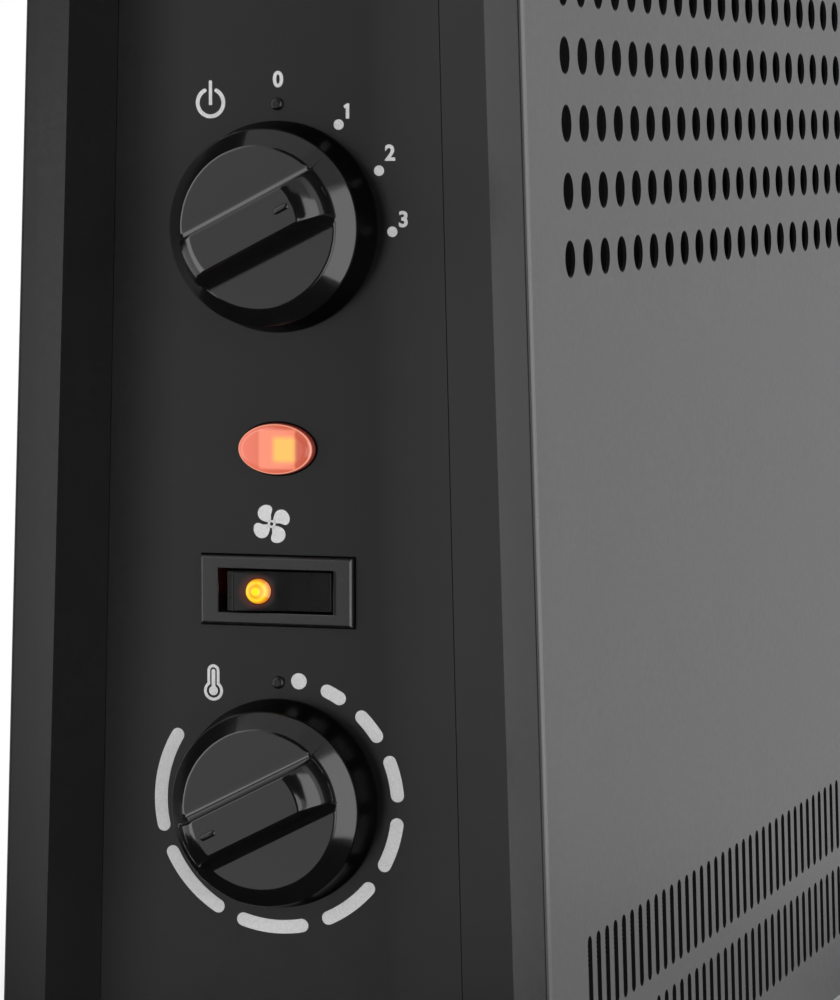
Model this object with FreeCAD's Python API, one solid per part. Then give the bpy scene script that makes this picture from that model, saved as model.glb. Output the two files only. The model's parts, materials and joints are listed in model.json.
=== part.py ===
import FreeCAD, Part
import math
import os
from FreeCAD import Placement, Rotation, Vector

# A free-standing convector heater with a fan, seen as it stands on the floor.
# X runs along the heater, with the control end at -X. The front faces -Y, and Z = 0 is the floor.
# All sizes are in millimetres.

# Overall sizes
length = 600.0            # over both end caps
height = 385.0            # floor to the top of the end caps
base = 50.0               # floor to the underside of the casing
depth_bottom = 96.7       # over the two panels at their lower edges
depth_top = 75.6          # over the two panels at the height of the casing's top
sheet = 0.8               # steel sheet of the casing
shoulder = 14.0           # outer radius where a panel turns over the top
cap_rise = 8.0            # end cap above the casing's top
slip = 0.1                # gap between pieces that slide together
play = 0.05               # radial gap of a running fit

# Perforations of the front and rear panels
hole_pitch = 14.0
hole_diameter = 7.8
hole_margin = 33.0        # visible end of a panel to the middle of the first hole
hole_first = 197.0        # lowest row of holes above the casing's underside
slot_pitch = 7.0
slot_width = 3.4
slot_length = 18.0
slot_first = 15.3         # lower end of the lowest row of slots above the casing's underside
slot_row_gap = 4.5
slot_rows = 2
lip = 9.0                 # return at a panel's lower edge
top_flange = 7.0          # width of the flat flange that a panel carries along the top

# Top and bottom grilles
top_slot_pitch = 9.0
top_slot_width = 4.0
top_slot_length = 30.0
bottom_slot_width = 5.2
bottom_slot_length = 11.0
bottom_row = 27.0         # outer rows of slots from the middle of the bottom grille
inlet_row = 10.0          # rows of slots under the fan, from the middle
grille_margin = 36.0      # end of a grille to its first slot

# End caps
wing = 10.3               # rim of a cap beyond the panels
wing_edge = 2.5           # thickness of the rim's outer edge
wing_slope = 13.5         # length over which the rim falls back to the collar
collar = 1.2              # collar outside the panels
cap_depth = 36.0          # outermost edge to the end of the collar
groove_depth = 12.0       # how far a panel enters the cap
cap_wall = 3.0
tongue = 2.1              # wall of the cap inside a panel's edge
trough_depth = 5.0        # control face below the outermost edge
ridge_depth = 3.0         # ridge below the outermost edge
face_half = 35.6          # half width of the control face at the reference height
ridge_half = 45.9         # half width over the ridges at the reference height
face_lean = 0.0255        # growth of the half width per millimetre downwards
ridge_lean = 0.033
face_reference = 150.0    # reference height above the casing's underside

# Finger recess at the top of each cap
recess_below = 60.0       # middle of the recess below the top of the cap
recess_width = 64.0
recess_tall = 30.0
recess_depth = 20.0
recess_round = 8.0

# End plates of the casing
plate = 1.0
plate_flange = 17.0

# Controls, each by its distance below the one above it
power_below_recess = 70.4
lamp_below_power = 43.6
rocker_below_lamp = 28.1
thermostat_below_rocker = 42.2
pip_rise = 24.0           # pip above a knob's axis
pip_diameter = 2.5
pip_tall = 0.9

# Knobs
knob_base_radius = 20.8
knob_rim_radius = 19.3
knob_rim = 8.6            # height of the skirt
knob_flat_radius = 15.8
knob_flat = 11.7          # height of the flats beside the grip
knob_top = 20.0
grip_top = 7.8            # width of the grip along its top
grip_foot = 10.6          # width of the grip at the flats
grip_half_length = 10.8   # half length of the grip's level top
grip_end_radius = 16.1    # where the grip's ends run into the knob
grip_end_sunk = 0.5       # the grip's ends below the flats
knob_wall = 1.8
knob_gap = 0.4            # knob above the control face
mark_length = 3.4
mark_width = 1.3
mark_tall = 0.25
mark_radius = 8.6
power_turn = 63.0         # pointer, clockwise from the top
thermostat_turn = 243.0
shaft_diameter = 6.0
shaft_in_knob = 9.0
hub_radius = 6.0

# Rotary switch and thermostat
bush_diameter = 10.0
nut_flats = 14.0
nut_tall = 3.0
bush_out = 4.0            # bush beyond the control face
shaft_in_switch = 11.0    # shaft into a switch body
switch_side = 34.0
switch_deep = 18.0
thermostat_wide = 40.0
thermostat_tall = 26.0
thermostat_deep = 20.0

# Pilot lamp
lens_wide = 15.8
lens_tall = 10.2
lens_dome = 2.6
lens_stem = 8.0
lamp_diameter = 11.0
lamp_deep = 18.0

# Fan rocker switch
bezel_wide = 31.6
bezel_tall = 13.7
bezel_thick = 1.8
window_wide = 23.8
window_tall = 8.6
rocker_body_wide = 27.6
rocker_body_tall = 11.6
rocker_body_deep = 19.0
rocker_wall = 1.6         # floor of the rocker switch body
rocker_room = 0.35        # gap between paddle and window
rocker_pivot_in = 4.0     # pivot behind the control face
rocker_tilt = 10.0        # paddle off its middle, each way
rocker_pin = 2.6
rocker_end_out = 2.5      # paddle ends above the control face, in the middle position
rocker_mid_out = 1.2      # paddle middle above the control face
paddle_bevel = 1.3        # at the paddle's rear end
paddle_tip = 0.5          # bevel at its front end
led_diameter = 4.9
led_offset = 4.4          # lens from the middle of the paddle
led_deep = 2.0
led_dome = 0.8

# Feet
foot_inset = 75.0         # middle of a foot from the outermost edge of the cap above it
foot_wide = 42.0
foot_depth = 200.0
foot_end_tall = 12.0
foot_saddle = 92.0        # level top under the casing
foot_toe = 32.0           # level sole at each end
arch_run = 14.0           # slope of the arch at each side
arch_rise = 20.0
pad_thick = 3.0
pad_wide = 28.0
pad_long = 22.0
pad_inset = 4.0
foot_screw_place = 36.0   # foot screws in front of and behind the middle

# Screws
screw_diameter = 3.8
screw_head = 7.0
screw_head_tall = 2.2
screw_grip = 9.0          # screw length past what it clamps
boss_diameter = 9.0
boss_low = 18.0           # lower cap screws above the casing's underside
boss_low_half = 33.0
boss_high = 22.0          # upper cap screws below the casing's top
boss_high_half = 21.0
case_screw_in = 8.0       # rear panel screws from the end plate
case_screw_low = 40.0     # rear panel screws above the underside and below the top
case_screw_high = 38.0

# Heating elements
element_height = 115.0    # above the casing's underside
element_apart = 17.0      # each side of the middle
fin_reach = 15.0
fin_thick = 1.6
fin_core = 10.0
fin_gap = 28.0            # end plate to the finned length
rod_diameter = 6.4
rod_out = 12.0            # rod beyond the end plate
bush_flange = 16.0
bush_neck = 11.0
bush_flange_thick = 3.0
bush_neck_long = 5.0

# Heat shield behind the elements
shield_place = 33.0       # behind the middle
shield_low = 70.0         # above the casing's underside
shield_high = 17.0        # below the casing's top
shield_thick = 0.6

# Thermal cut-out and terminal block on the control end plate
cutout_diameter = 17.0
cutout_deep = 7.0
cutout_height = 165.0
block_wide = 30.0
block_tall = 16.0
block_deep = 13.0
block_height = 20.0

# Cord gland in the underside of the control end cap
gland_in = 21.0           # from the outermost edge of the cap
gland_back = 20.0         # behind the middle
gland_flange = 16.0
gland_neck = 11.0
gland_bore = 7.0
gland_flange_thick = 3.0
gland_inside = 6.0
gland_outside = 7.0

# Fan
fan_inset = 150.0         # fan's axis from the outermost edge of the plain cap
fan_stand = 14.0          # fan plate above the bottom grille
fan_plate_thick = 1.5
fan_plate_long = 104.0
fan_plate_wide = 80.0
fan_mouth = 70.0
fan_leg = 6.0
impeller_diameter = 66.0
impeller_tall = 12.0
impeller_hub = 15.0
blade_count = 5
blade_thick = 1.4
blade_pitch = 35.0
impeller_sink = 5.0       # impeller below the fan plate

# Fan motor
motor_gap = 6.0           # impeller to the lower bearing
core_thick = 18.0
core_ahead = 20.0
core_behind = 40.0
core_half = 21.0
rotor_diameter = 24.2
rotor_gap = 0.4
window_from = 18.0
window_to = 31.0
core_window_half = 13.0
coil_wall = 10.0
coil_half = 12.4
motor_shaft_diameter = 4.0
bearing_hub = 12.0
bearing_long = 8.0
strap_thick = 2.0
strap_wide = 14.0
strap_stand = 10.0
strap_leg = 3.0

# Wiring inside the control end
lead_diameter = 2.2
lead_bend = 5.0

# Places that follow from the sizes above
half = length / 2
casing_top = height - cap_rise
outer_x = -half
face_x = outer_x + trough_depth
inner_face_x = face_x + cap_wall
collar_x = outer_x + cap_depth
panel_end = half - cap_depth + groove_depth
plate_out_x = collar_x
plate_in_x = collar_x + plate
knob_reach = knob_gap + knob_top + mark_tall - trough_depth
centring = Vector(knob_reach / 2, 0, 0)
lean = math.atan((depth_bottom - depth_top) / 2 / (casing_top - base))
grille_top = base + 2 * sheet
recess_z = height - recess_below
power_z = recess_z - power_below_recess
lamp_z = power_z - lamp_below_power
rocker_z = lamp_z - rocker_below_lamp
thermostat_z = rocker_z - thermostat_below_rocker
element_z = base + element_height
foot_place = half - foot_inset
fan_place = half - fan_inset

outwards = Rotation(Vector(0, -1, 0), Vector(0, 0, 1), Vector(-1, 0, 0), "ZXY")


def half_depth(z):
    """Half the depth over the panels at a height."""
    share = (z - base) / (casing_top - base)
    return depth_bottom / 2 + share * (depth_top - depth_bottom) / 2


def box(x0, x1, y0, y1, z0, z1):
    return Part.makeBox(x1 - x0, y1 - y0, z1 - z0, Vector(x0, y0, z0))


def cylinder(radius, start, axis, long):
    return Part.makeCylinder(radius, long, Vector(*start), Vector(*axis))


def prism(points, direction):
    """Solid of a closed outline pushed along a vector."""
    corners = [Vector(*p) for p in points]
    return Part.Face(Part.makePolygon(corners + corners[:1])).extrude(Vector(*direction))


def revolve(points):
    """Solid of an outline in radius and height turned about Z."""
    corners = [Vector(r, 0, h) for r, h in points]
    face = Part.Face(Part.makePolygon(corners + corners[:1]))
    return face.revolve(Vector(0, 0, 0), Vector(0, 0, 1), 360)


def on_face(solid, y, z, turn=0.0, x=face_x):
    """Stand a solid made along Z on the control face, turned clockwise as seen from outside."""
    placed = solid.copy()
    placed.rotate(Vector(0, 0, 0), Vector(0, 0, 1), -turn)
    placed.Placement = Placement(Vector(x, y, z), outwards).multiply(placed.Placement)
    return placed


def shoulder_points(grow, top_grow, bottom_grow):
    """Corner points of the casing's outline on the +Y side, grown outwards."""
    low = base - bottom_grow
    top = casing_top + top_grow
    radius = max(shoulder + grow, sheet)
    foot_y = half_depth(low) + grow / math.cos(lean)
    rise = (top - radius + radius * math.sin(lean) - low) / math.cos(lean)
    tangent = (foot_y - rise * math.sin(lean), low + rise * math.cos(lean))
    centre = (tangent[0] - radius * math.cos(lean), top - radius)
    middle = (math.pi / 2 + lean) / 2
    bend = (centre[0] + radius * math.cos(middle), centre[1] + radius * math.sin(middle))
    return (foot_y, low), tangent, bend, (centre[0], top)


def case_outline(x, grow, top_grow, bottom_grow):
    """The casing's outline in a plane across the heater, grown outwards."""
    foot, tangent, bend, crown = shoulder_points(grow, top_grow, bottom_grow)

    def at(point, side):
        return Vector(x, side * point[0], point[1])

    edges = [
        Part.makeLine(at(foot, -1), at(tangent, -1)),
        Part.Arc(at(tangent, -1), at(bend, -1), at(crown, -1)).toShape(),
        Part.makeLine(at(crown, -1), at(crown, 1)),
        Part.Arc(at(crown, 1), at(bend, 1), at(tangent, 1)).toShape(),
        Part.makeLine(at(tangent, 1), at(foot, 1)),
        Part.makeLine(at(foot, 1), at(foot, -1)),
    ]
    return Part.Wire(edges)


def case_block(sections):
    """Solid through outlines of the casing, each given as (x, grow, top_grow, bottom_grow)."""
    blocks = []
    for near, far in zip(sections, sections[1:]):
        blocks.append(Part.makeLoft([case_outline(*near), case_outline(*far)], True, True))
    if len(blocks) == 1:
        return blocks[0]
    return blocks[0].fuse(blocks[1:]).removeSplitter()


def mirrored(solid):
    return solid.mirror(Vector(0, 0, 0), Vector(1, 0, 0))


def evenly(pitch, reach):
    """Places at a pitch, even about the middle, that stay within a reach."""
    count = int(2 * reach / pitch + 1e-6) + 1
    return [(i - (count - 1) / 2) * pitch for i in range(count)]


def round_wire(u, v, radius):
    return Part.Wire(Part.makeCircle(radius, Vector(u, v, 0)))


def slot_wire(u, v, width, long):
    """A round-ended slot, long along the second axis, about its middle."""
    radius = width / 2
    reach = long / 2 - radius
    edges = [
        Part.makeLine(Vector(u + radius, v - reach, 0), Vector(u + radius, v + reach, 0)),
        Part.Arc(
            Vector(u + radius, v + reach, 0),
            Vector(u, v + reach + radius, 0),
            Vector(u - radius, v + reach, 0),
        ).toShape(),
        Part.makeLine(Vector(u - radius, v + reach, 0), Vector(u - radius, v - reach, 0)),
        Part.Arc(
            Vector(u - radius, v - reach, 0),
            Vector(u, v - reach - radius, 0),
            Vector(u + radius, v - reach, 0),
        ).toShape(),
    ]
    return Part.Wire(edges)


def pierced_sheet(u_half, v0, v1, thick, openings):
    """A flat sheet in the XY plane with openings, given as wires in that plane."""
    corners = [Vector(-u_half, v0, 0), Vector(u_half, v0, 0), Vector(u_half, v1, 0), Vector(-u_half, v1, 0)]
    outer = Part.makePolygon(corners + corners[:1])
    face = Part.makeFace([outer] + openings, "Part::FaceMakerBullseye")
    return face.extrude(Vector(0, 0, thick))


def screw(long):
    """A pan head screw along Z, its head's underside at Z = 0 and its shank above."""
    shank = Part.makeCylinder(screw_diameter / 2, long)
    head = revolve([
        (0, 0),
        (screw_head / 2, 0),
        (screw_head / 2, -screw_head_tall * 0.45),
        (screw_head * 0.3, -screw_head_tall),
        (0, -screw_head_tall),
    ])
    return head.fuse(shank).removeSplitter()


def pointing(solid, start, axis):
    """A solid made along Z, moved to a point and turned to an axis."""
    placed = solid.copy()
    turn = Rotation(Vector(0, 0, 1), Vector(*axis))
    placed.Placement = Placement(Vector(*start), turn).multiply(placed.Placement)
    return placed


# Front and rear panels: the same pressing, turned round
foot, tangent, bend, crown = shoulder_points(0, 0, 0)
inner_foot, inner_tangent, inner_bend, inner_crown = shoulder_points(-sheet, -sheet, 0)
flat_tall = math.hypot(tangent[0] - foot[0], tangent[1] - foot[1])
visible_half = half - cap_depth
flange_edge = crown[0] - top_flange
screw_hole = screw_diameter / 2 + 2 * slip
case_screw_x = plate_in_x + case_screw_in
case_screw_rows = [case_screw_low, casing_top - base - case_screw_high]


def panel_openings():
    wires = []
    reach = visible_half - hole_margin
    rows = int((flat_tall - hole_diameter - hole_first) / hole_pitch) + 1
    for row in range(rows):
        for u in evenly(hole_pitch, reach):
            wires.append(round_wire(u, hole_first + row * hole_pitch, hole_diameter / 2))
    for level in range(slot_rows):
        middle = slot_first + slot_length / 2 + level * (slot_length + slot_row_gap)
        for u in evenly(slot_pitch, reach):
            wires.append(slot_wire(u, middle, slot_width, slot_length))
    return wires


def panel():
    """One panel on the +Y side: pierced flat, shoulder with its flange, and the lip below."""
    flat = pierced_sheet(panel_end, 0, flat_tall, sheet, panel_openings())
    flat.rotate(Vector(0, 0, 0), Vector(1, 0, 0), 90 + math.degrees(lean))
    flat.translate(Vector(0, foot[0], foot[1]))

    def at(point):
        return Vector(-panel_end, point[0], point[1])

    flange_low = casing_top - sheet
    edges = [
        Part.Arc(at(tangent), at(bend), at(crown)).toShape(),
        Part.makeLine(at(crown), at((flange_edge, casing_top))),
        Part.makeLine(at((flange_edge, casing_top)), at((flange_edge, flange_low))),
        Part.makeLine(at((flange_edge, flange_low)), at(inner_crown)),
        Part.Arc(at(inner_crown), at(inner_bend), at(inner_tangent)).toShape(),
        Part.makeLine(at(inner_tangent), at(tangent)),
    ]
    turned = Part.Face(Part.Wire(edges)).extrude(Vector(2 * panel_end, 0, 0))
    lip_points = [
        (-panel_end, foot[0] - sheet / 2, base),
        (-panel_end, foot[0] - lip, base),
        (-panel_end, foot[0] - lip, base + sheet),
        (-panel_end, foot[0] - sheet / 2, base + sheet),
    ]
    lower = prism(lip_points, (2 * panel_end, 0, 0))
    return flat.fuse([turned, lower]).removeSplitter()


def rear_screw_seat(side, along):
    """Where a rear panel screw's head sits, and the way its shank goes."""
    y = foot[0] - along * math.sin(lean)
    z = foot[1] + along * math.cos(lean)
    return (side * abs(case_screw_x), y, z), (0, -math.cos(lean), -math.sin(lean))


def rear_screw_holes():
    """Holes for the rear panel's screws, through the panel and the trays behind it."""
    holes = []
    for side in (-1, 1):
        for along in case_screw_rows:
            start, axis = rear_screw_seat(side, along)
            hole = cylinder(screw_hole, start, axis, screw_grip)
            holes.append(hole.fuse(cylinder(screw_hole, start, [-a for a in axis], sheet)))
    return holes


foot_holes = []
for x in (-foot_place, foot_place):
    for y in (-foot_screw_place, foot_screw_place):
        foot_holes.append(cylinder(screw_hole, (x, y, 0), (0, 0, 1), grille_top + 1))

rear_panel = panel().cut(foot_holes)
front_panel = rear_panel.copy()
front_panel.rotate(Vector(0, 0, 0), Vector(0, 0, 1), 180)
rear_panel = rear_panel.cut(rear_screw_holes())

# Top grille, held under the flanges of the two panels
grille_half = visible_half - slip
top_half = crown[0]
top_wires = []
for u in evenly(top_slot_pitch, grille_half - grille_margin):
    top_wires.append(slot_wire(u, 0, top_slot_width, top_slot_length))
top_grille = pierced_sheet(grille_half, -top_half, top_half, sheet, top_wires)
top_grille.translate(Vector(0, 0, casing_top - 2 * sheet))

# Bottom grille, resting on the lips of the two panels
bottom_half = half_depth(grille_top) - sheet / math.cos(lean) - slip
bottom_wires = []
for u in evenly(slot_pitch, grille_half - grille_margin):
    under_fan = abs(u - fan_place) < fan_mouth / 2
    rows = [bottom_row, inlet_row] if under_fan else [bottom_row]
    for v in rows:
        for side in (-1, 1):
            bottom_wires.append(slot_wire(u, side * v, bottom_slot_width, bottom_slot_length))
bottom_grille = pierced_sheet(grille_half, -bottom_half, bottom_half, sheet, bottom_wires)
bottom_grille.translate(Vector(0, 0, base + sheet))
bottom_grille = bottom_grille.cut(foot_holes)

# End caps: a shallow trough between two raised wings, over a hollow shell with a collar
boss_spots = []
for side in (-1, 1):
    boss_spots.append((side * boss_low_half, base + boss_low))
    boss_spots.append((side * boss_high_half, casing_top - boss_high))
inner_wall = sheet + slip + tongue
slope_x = outer_x + wing_edge + wing_slope
fallen = (inner_face_x - outer_x - wing_edge) / wing_slope


def trough_outline(z):
    drop = base + face_reference - z
    face_y = face_half + face_lean * drop
    ridge_y = ridge_half + ridge_lean * drop
    rim_y = half_depth(z) + wing / math.cos(lean)
    beyond = outer_x - trough_depth
    side = [
        (beyond, rim_y + wing),
        (outer_x, rim_y + wing),
        (outer_x, rim_y),
        (outer_x + ridge_depth, ridge_y),
        (face_x, face_y),
    ]
    points = [Vector(x, y, z) for x, y in side]
    points += [Vector(x, -y, z) for x, y in reversed(side)]
    return Part.makePolygon(points + points[:1])


def inner_grow(rim):
    """How far the hollow reaches beyond the casing at the inner face, under a rim that falls back."""
    return rim - fallen * (rim - collar) - cap_wall


def end_cap():
    """The shell of the cap at the control end, without openings for controls."""
    outside = case_block([
        (outer_x, wing, cap_rise, collar),
        (outer_x + wing_edge, wing, cap_rise, collar),
        (slope_x, collar, collar, collar),
        (collar_x, collar, collar, collar),
    ])
    inside = case_block([
        (inner_face_x, inner_grow(wing), inner_grow(cap_rise), -inner_wall),
        (slope_x, -inner_wall, -inner_wall, -inner_wall),
        (collar_x + cap_wall, -inner_wall, -inner_wall, -inner_wall),
    ])
    groove_outer = case_block([(-panel_end, slip, slip, slip), (collar_x + 1, slip, slip, slip)])
    thin = sheet + slip
    groove_inner = case_block([(-panel_end - 1, -thin, -thin, -thin), (collar_x + 2, -thin, -thin, -thin)])
    trough_ends = [trough_outline(base - 2 * cap_wall), trough_outline(height + cap_wall)]
    trough = Part.makeLoft(trough_ends, True, True)
    shell = outside.cut(trough).cut(inside).cut(groove_outer.cut(groove_inner))
    for y, z in boss_spots:
        boss = cylinder(boss_diameter / 2, (inner_face_x, y, z), (1, 0, 0), collar_x - inner_face_x)
        pilot = cylinder(screw_diameter / 2 + play, (inner_face_x, y, z), (1, 0, 0), cap_depth)
        shell = shell.fuse(boss).cut(pilot)
    cup = recess_block(face_x + cap_wall / 2, recess_depth + cap_wall / 2, cap_wall)
    hollow = recess_block(outer_x - 1, recess_depth + trough_depth + 1, 0)
    return shell.fuse(cup).cut(hollow).removeSplitter()


def recess_block(x, deep, grow):
    """The finger recess as a block with rounded corners, from a plane inwards."""
    wide = recess_width / 2 + grow
    tall = recess_tall / 2 + grow
    block = box(x, x + deep, -wide, wide, recess_z - tall, recess_z + tall)
    along = [e for e in block.Edges if abs(e.tangentAt(e.FirstParameter).x) > 0.9]
    return block.makeFillet(recess_round + grow, along)


control_end_cap = end_cap()
plain_end_cap = mirrored(control_end_cap)
wall_reach = cap_wall + 2 * trough_depth
for z in (power_z, thermostat_z):
    hole = cylinder(bush_diameter / 2 + slip, (outer_x, 0, z), (1, 0, 0), wall_reach)
    pip_long = pip_tall + cap_wall / 2
    pip = cylinder(pip_diameter / 2, (face_x - pip_tall, 0, z + pip_rise), (1, 0, 0), pip_long)
    control_end_cap = control_end_cap.cut(hole).fuse(pip)
lens_hole = cylinder(lens_stem / 2 + slip, (outer_x, 0, lamp_z), (1, 0, 0), wall_reach)
rocker_hole = box(
    outer_x, outer_x + wall_reach,
    -rocker_body_wide / 2 - slip, rocker_body_wide / 2 + slip,
    rocker_z - rocker_body_tall / 2 - slip, rocker_z + rocker_body_tall / 2 + slip,
)
gland_x = outer_x + gland_in
cap_floor = base - collar
cap_floor_top = base + inner_wall
gland_hole = cylinder(gland_neck / 2 + slip, (gland_x, gland_back, 0), (0, 0, 1), cap_floor_top + slip)
control_end_cap = control_end_cap.cut([lens_hole, rocker_hole, gland_hole]).removeSplitter()

# End plates: trays of steel between the hot chamber and the caps
tray_side = -(sheet + slip)
tray_edge = -(2 * sheet + slip)
element_spots = [(-element_apart, element_z), (element_apart, element_z)]


def end_plate():
    """The tray at the control end, with its holes for elements and cap screws."""
    end_x = plate_in_x + plate_flange
    outer = (tray_side, tray_edge, tray_edge)
    inner = (tray_side - plate, tray_edge - plate, tray_edge - plate)
    block = case_block([(plate_out_x, *outer), (end_x, *outer)])
    tray = block.cut(case_block([(plate_in_x, *inner), (end_x + 1, *inner)]))
    for y, z in boss_spots:
        tray = tray.cut(cylinder(screw_hole, (plate_out_x - 1, y, z), (1, 0, 0), plate + 2))
    for y, z in element_spots:
        tray = tray.cut(cylinder(bush_neck / 2 + slip, (plate_out_x - 1, y, z), (1, 0, 0), plate + 2))
    return tray.cut(rear_screw_holes())


control_end_plate = end_plate()
plain_end_plate = mirrored(control_end_plate)

# Screws: caps to end plates, rear panel to end plates
cap_screws = []
case_screws = []
for side in (-1, 1):
    for y, z in boss_spots:
        seat = (side * abs(plate_in_x), y, z)
        cap_screws.append(pointing(screw(plate + screw_grip), seat, (side, 0, 0)))
    for v in case_screw_rows:
        start, axis = rear_screw_seat(side, v)
        case_screws.append(pointing(screw(sheet + plate + screw_grip / 3), start, axis))

# Feet: bars across the heater that rise to a saddle, with an arch beneath
arch_low = pad_thick + arch_rise


def foot_bar(x):
    end_y = foot_depth / 2
    toe_y = end_y - foot_toe
    side = [
        (toe_y - arch_run, arch_low), (toe_y, pad_thick), (end_y, pad_thick),
        (end_y, pad_thick + foot_end_tall), (foot_saddle / 2, base),
    ]
    outline = side + [(-y, z) for y, z in reversed(side)]
    points = [(x - foot_wide / 2, y, z) for y, z in outline]
    return prism(points, (foot_wide, 0, 0)).cut(foot_holes)


def foot_pad(x, side):
    outer_y = foot_depth / 2 - pad_inset
    y0, y1 = sorted((side * outer_y, side * (outer_y - pad_long)))
    block = box(x - pad_wide / 2, x + pad_wide / 2, y0, y1, 0, pad_thick)
    upright = [e for e in block.Edges if abs(e.tangentAt(e.FirstParameter).z) > 0.9]
    return block.makeFillet(pad_long / 4, upright)


control_side_foot = foot_bar(-foot_place)
plain_side_foot = foot_bar(foot_place)
foot_pads = []
foot_screws = []
for x in (-foot_place, foot_place):
    for side in (-1, 1):
        foot_pads.append(foot_pad(x, side))
        seat = (x, side * foot_screw_place, arch_low)
        foot_screws.append(pointing(screw(grille_top - arch_low + screw_grip / 3), seat, (0, 0, 1)))


# Knobs: a tapered skirt, two sunk flats and a grip across the middle
def knob():
    body = revolve([
        (0, 0),
        (knob_base_radius, 0),
        (knob_rim_radius, knob_rim),
        (knob_flat_radius, knob_flat),
        (0, knob_flat),
    ])
    reach = knob_rim_radius + 1
    grip = prism(
        [(-grip_foot / 2, -reach, knob_rim), (grip_foot / 2, -reach, knob_rim),
         (grip_foot / 2, -reach, knob_flat), (grip_top / 2, -reach, knob_top),
         (-grip_top / 2, -reach, knob_top), (-grip_foot / 2, -reach, knob_flat)],
        (0, 2 * reach, 0),
    )
    eighth = math.sqrt(0.5)
    grip_low = knob_flat - grip_end_sunk
    bow_radius = grip_half_length + eighth * (grip_end_radius - grip_half_length)
    bow_height = grip_low + eighth * (knob_top - grip_low)
    dome_edge = [
        Part.makeLine(Vector(0, 0, 0), Vector(grip_end_radius, 0, 0)),
        Part.makeLine(Vector(grip_end_radius, 0, 0), Vector(grip_end_radius, 0, grip_low)),
        Part.Arc(
            Vector(grip_end_radius, 0, grip_low),
            Vector(bow_radius, 0, bow_height),
            Vector(grip_half_length, 0, knob_top),
        ).toShape(),
        Part.makeLine(Vector(grip_half_length, 0, knob_top), Vector(0, 0, knob_top)),
        Part.makeLine(Vector(0, 0, knob_top), Vector(0, 0, 0)),
    ]
    dome = Part.Face(Part.Wire(dome_edge)).revolve(Vector(0, 0, 0), Vector(0, 0, 1), 360)
    body = body.fuse(grip.common(dome))
    mark = Part.Face(slot_wire(0, mark_radius, mark_width, mark_length))
    body = body.fuse(mark.extrude(Vector(0, 0, knob_top + mark_tall)))
    room = Part.makeCylinder(knob_rim_radius - knob_wall, knob_rim - knob_wall + 1, Vector(0, 0, -1))
    hub_low = bush_out + knob_gap
    hub = Part.makeCylinder(hub_radius, knob_top, Vector(0, 0, hub_low))
    bore = Part.makeCylinder(shaft_diameter / 2 + play, hub_low + shaft_in_knob + 1, Vector(0, 0, -1))
    return body.cut(room.cut(hub)).cut(bore).removeSplitter()


knob_x = face_x - knob_gap
power_knob = on_face(knob(), 0, power_z, power_turn, knob_x)
thermostat_knob = on_face(knob(), 0, thermostat_z, thermostat_turn, knob_x)


# Rotary switch and thermostat, each with a bush through the control face and a nut
def bushed(wide, tall, deep):
    body = box(inner_face_x, inner_face_x + deep, -wide / 2, wide / 2, -tall / 2, tall / 2)
    neck_long = inner_face_x - face_x + bush_out
    neck = cylinder(bush_diameter / 2, (inner_face_x, 0, 0), (-1, 0, 0), neck_long)
    bush_end = (face_x - bush_out, 0, 0)
    bore = cylinder(shaft_diameter / 2 + play, bush_end, (1, 0, 0), neck_long + shaft_in_switch)
    return body.fuse(neck).cut(bore).removeSplitter()


def shaft(z):
    inner_end = inner_face_x + shaft_in_switch - slip
    outer_end = knob_x - bush_out - knob_gap - shaft_in_knob + slip
    return cylinder(shaft_diameter / 2, (outer_end, 0, z), (1, 0, 0), inner_end - outer_end)


def nut():
    radius = nut_flats / 2 / math.cos(math.pi / 6)
    corners = []
    for i in range(6):
        turn = math.radians(60 * i)
        corners.append((radius * math.cos(turn), radius * math.sin(turn), 0))
    ring = prism(corners, (0, 0, nut_tall))
    return ring.cut(Part.makeCylinder(bush_diameter / 2 + play, 3 * nut_tall, Vector(0, 0, -nut_tall)))


def raised(solid, z):
    moved = solid.copy()
    moved.translate(Vector(0, 0, z))
    return moved


rotary_switch = raised(bushed(switch_side, switch_side, switch_deep), power_z)
thermostat = raised(bushed(thermostat_wide, thermostat_tall, thermostat_deep), thermostat_z)
power_shaft = shaft(power_z)
thermostat_shaft = shaft(thermostat_z)
bush_nuts = [on_face(nut(), 0, power_z), on_face(nut(), 0, thermostat_z)]

# Pilot lamp: an oval domed lens on the face, and the lamp behind it
oval = Part.Wire(Part.Ellipse(Vector(0, 0, 0), lens_wide / 2, lens_tall / 2).toShape())
lens = Part.Face(oval).extrude(Vector(0, 0, lens_dome))
lens = lens.makeFillet(lens_dome * 0.7, [e for e in lens.Edges if e.BoundBox.ZMin > lens_dome / 2])
stem = Part.makeCylinder(lens_stem / 2, cap_wall, Vector(0, 0, -cap_wall))
indicator_lens = on_face(lens.fuse(stem).removeSplitter(), 0, lamp_z)
indicator_lamp = cylinder(lamp_diameter / 2, (inner_face_x, 0, lamp_z), (1, 0, 0), lamp_deep)

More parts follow.
